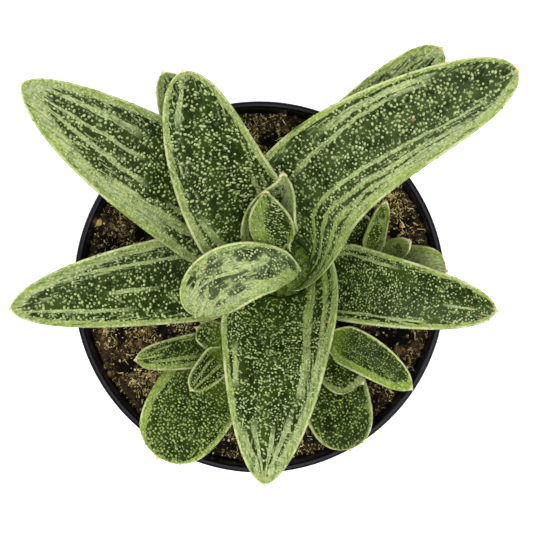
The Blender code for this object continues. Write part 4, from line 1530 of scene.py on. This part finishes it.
def litter_finish(name, first, second, scale):
    """A dull finish that wanders between two colours from piece to piece."""
    finish = Finish(name, roughness=0.85, specular=0.25)
    place = finish.place()
    tint = finish.noise(place, scale, 3.0, 0.6)
    grain = finish.noise(place, 2600.0, 3.0, 0.7)
    colour = finish.mix(tint.step(0.36, 0.64), first, second)
    colour = finish.mix(grain.step(0.5, 0.8) * 0.25, colour, SOIL_DARK)
    finish.colour(colour)
    finish.bump(grain, 0.2)
    return finish.material


def make_shapes(draw):
    """Collections of the shapes that litter the soil."""
    makers = {
        "crumbs": lambda label: lump_mesh(label, draw, 0.45, 0.8),
        "clods": lambda label: lump_mesh(label, draw, 0.28, 0.7, fine=2),
        "chips": lambda label: lump_mesh(label, draw, 0.3, 0.3),
        "fibres": lambda label: fibre_mesh(label, draw, 0.6),
        "curls": lambda label: fibre_mesh(label, draw, 1.3),
    }
    shapes = {}
    for kind, make in makers.items():
        shapes[kind] = bpy.data.collections.new(kind)
        bpy.context.scene.collection.children.link(shapes[kind])
        for i in range(SHAPE_COUNT):
            shapes[kind].objects.link(bpy.data.objects.new(f"{kind}_{i}", make(f"{kind}_{i}")))
    return shapes


def clear_shapes(shapes):
    """Removes the shapes, once the litter is made of them."""
    for collection in shapes.values():
        for shape in list(collection.objects):
            bpy.data.objects.remove(shape)
        bpy.data.collections.remove(collection)


def make_perlite(draw):
    """A few white puffed grains on top of the soil."""
    grains = bmesh.new()
    for x, y, size in PERLITE:
        place = Vector((x, y, soil_height(x, y) + 0.3 * size)) * MM
        made = bmesh.ops.create_icosphere(grains, subdivisions=3, radius=1)
        shift = Vector((draw.uniform(0, 9), draw.uniform(0, 9), 0))
        for vertex in made["verts"]:
            vertex.co *= 0.75 + 0.5 * noise.noise(vertex.co * 1.3 + shift)
            vertex.co = place + vertex.co * size / 2 * MM
    mesh = mesh_of("soil_perlite", grains)
    mesh.materials.append(litter_finish("soil_perlite", PERLITE_WHITE, PERLITE_GREY, 500.0))
    return object_of("soil_perlite", mesh)


def make_litter(number, words, fill, shapes, tree):
    """One layer of litter over the fill."""
    smallest, largest = words["size"]
    litter = object_of(f"soil_{words['shape']}_{number}", fill.data.copy())
    use_tree(litter, tree, {
        "Shapes": shapes[words["shape"]],
        "Per square metre": words["density"],
        "Smallest": smallest * MM,
        "Largest": largest * MM,
        "Tilt": words["tilt"],
        "Lift": words["lift"] * MM,
        "Patchiness": words["patchy"],
        "On lumps": words["on_lumps"],
        "Seed": 10 * number,
        "Finish": litter_finish(*words["finish"]),
    })
    settle(litter)
    return litter


def make_soil():
    """The fill, its white grains and its litter, which all stand for the one soil."""
    draw = random.Random(SOIL_SEED)
    fill = object_of("soil_fill", soil_mesh())
    fill.data.materials.append(soil_finish())
    shapes = make_shapes(draw)
    tree = litter_tree()
    pieces = [fill, make_perlite(draw)]
    for number, words in enumerate(LITTER):
        pieces.append(make_litter(number, words, fill, shapes, tree))
    clear_shapes(shapes)
    for piece in pieces:
        dress(piece, "soil")


# Stage

FLOOR_SIZE = 6.0  # metres
FLOOR_GLOW = 0.3  # lifts the plain paper to white, as in a cut-out
PAPER_GREY = (0.90, 0.90, 0.90)
PAPER_WHITE = (0.93, 0.93, 0.93)
WHITE = (1.0, 1.0, 1.0)
AMBIENT = 0.55
AIM = (0, 0, 0.1)  # where all lamps point, in metres
LAMPS = (  # name, place and size in metres, power
    ("key", (-0.8, 0.55, 0.85), 0.6, 11),
    ("fill", (0.85, -0.5, 0.8), 0.9, 6),
    ("top", (0.1, -0.15, 1.3), 0.7, 11),
)


def make_stage():
    """White paper under the pot."""
    bpy.ops.mesh.primitive_plane_add(size=FLOOR_SIZE)
    floor = bpy.context.object
    floor.name = "floor"
    finish = Finish("floor_paper", roughness=0.9, specular=0.1)
    finish.colour(finish.mix(finish.noise(finish.place(), 3.0), PAPER_GREY, PAPER_WHITE))
    finish.feed(finish.shader.inputs["Emission Color"], WHITE)
    finish.feed(finish.shader.inputs["Emission Strength"], FLOOR_GLOW)
    floor.data.materials.append(finish.material)


def add_lamp(name, place, size, power):
    lamp = bpy.data.lights.new(name, "AREA")
    lamp.shape = "DISK"
    lamp.size = size
    lamp.energy = power
    obj = bpy.data.objects.new(name, lamp)
    bpy.context.scene.collection.objects.link(obj)
    obj.location = place
    obj.rotation_euler = (Vector(AIM) - Vector(place)).to_track_quat("-Z", "Y").to_euler()


def make_lights():
    """Three soft lamps in an even white room."""
    for lamp in LAMPS:
        add_lamp(*lamp)
    world = bpy.data.worlds.new("studio")
    world.use_nodes = True
    background = world.node_tree.nodes["Background"]
    background.inputs["Color"].default_value = (*WHITE, 1.0)
    background.inputs["Strength"].default_value = AMBIENT
    bpy.context.scene.world = world
    bpy.context.scene.view_settings.view_transform = "Standard"


def make_camera():
    """Looks straight down, with the rim's height as the height at which its view has the given width."""
    camera = bpy.data.cameras.new("camera")
    camera.sensor_width = SENSOR
    camera.lens = SENSOR * (VIEW_HEIGHT - POT_HEIGHT) / VIEW_WIDTH
    eye = bpy.data.objects.new("camera", camera)
    eye.location = Vector((*VIEW_CENTRE, VIEW_HEIGHT)) * MM
    bpy.context.scene.collection.objects.link(eye)
    bpy.context.scene.camera = eye


make_camera()
make_stage()
make_lights()
make_pot()
make_soil()
make_stems()
make_leaves()
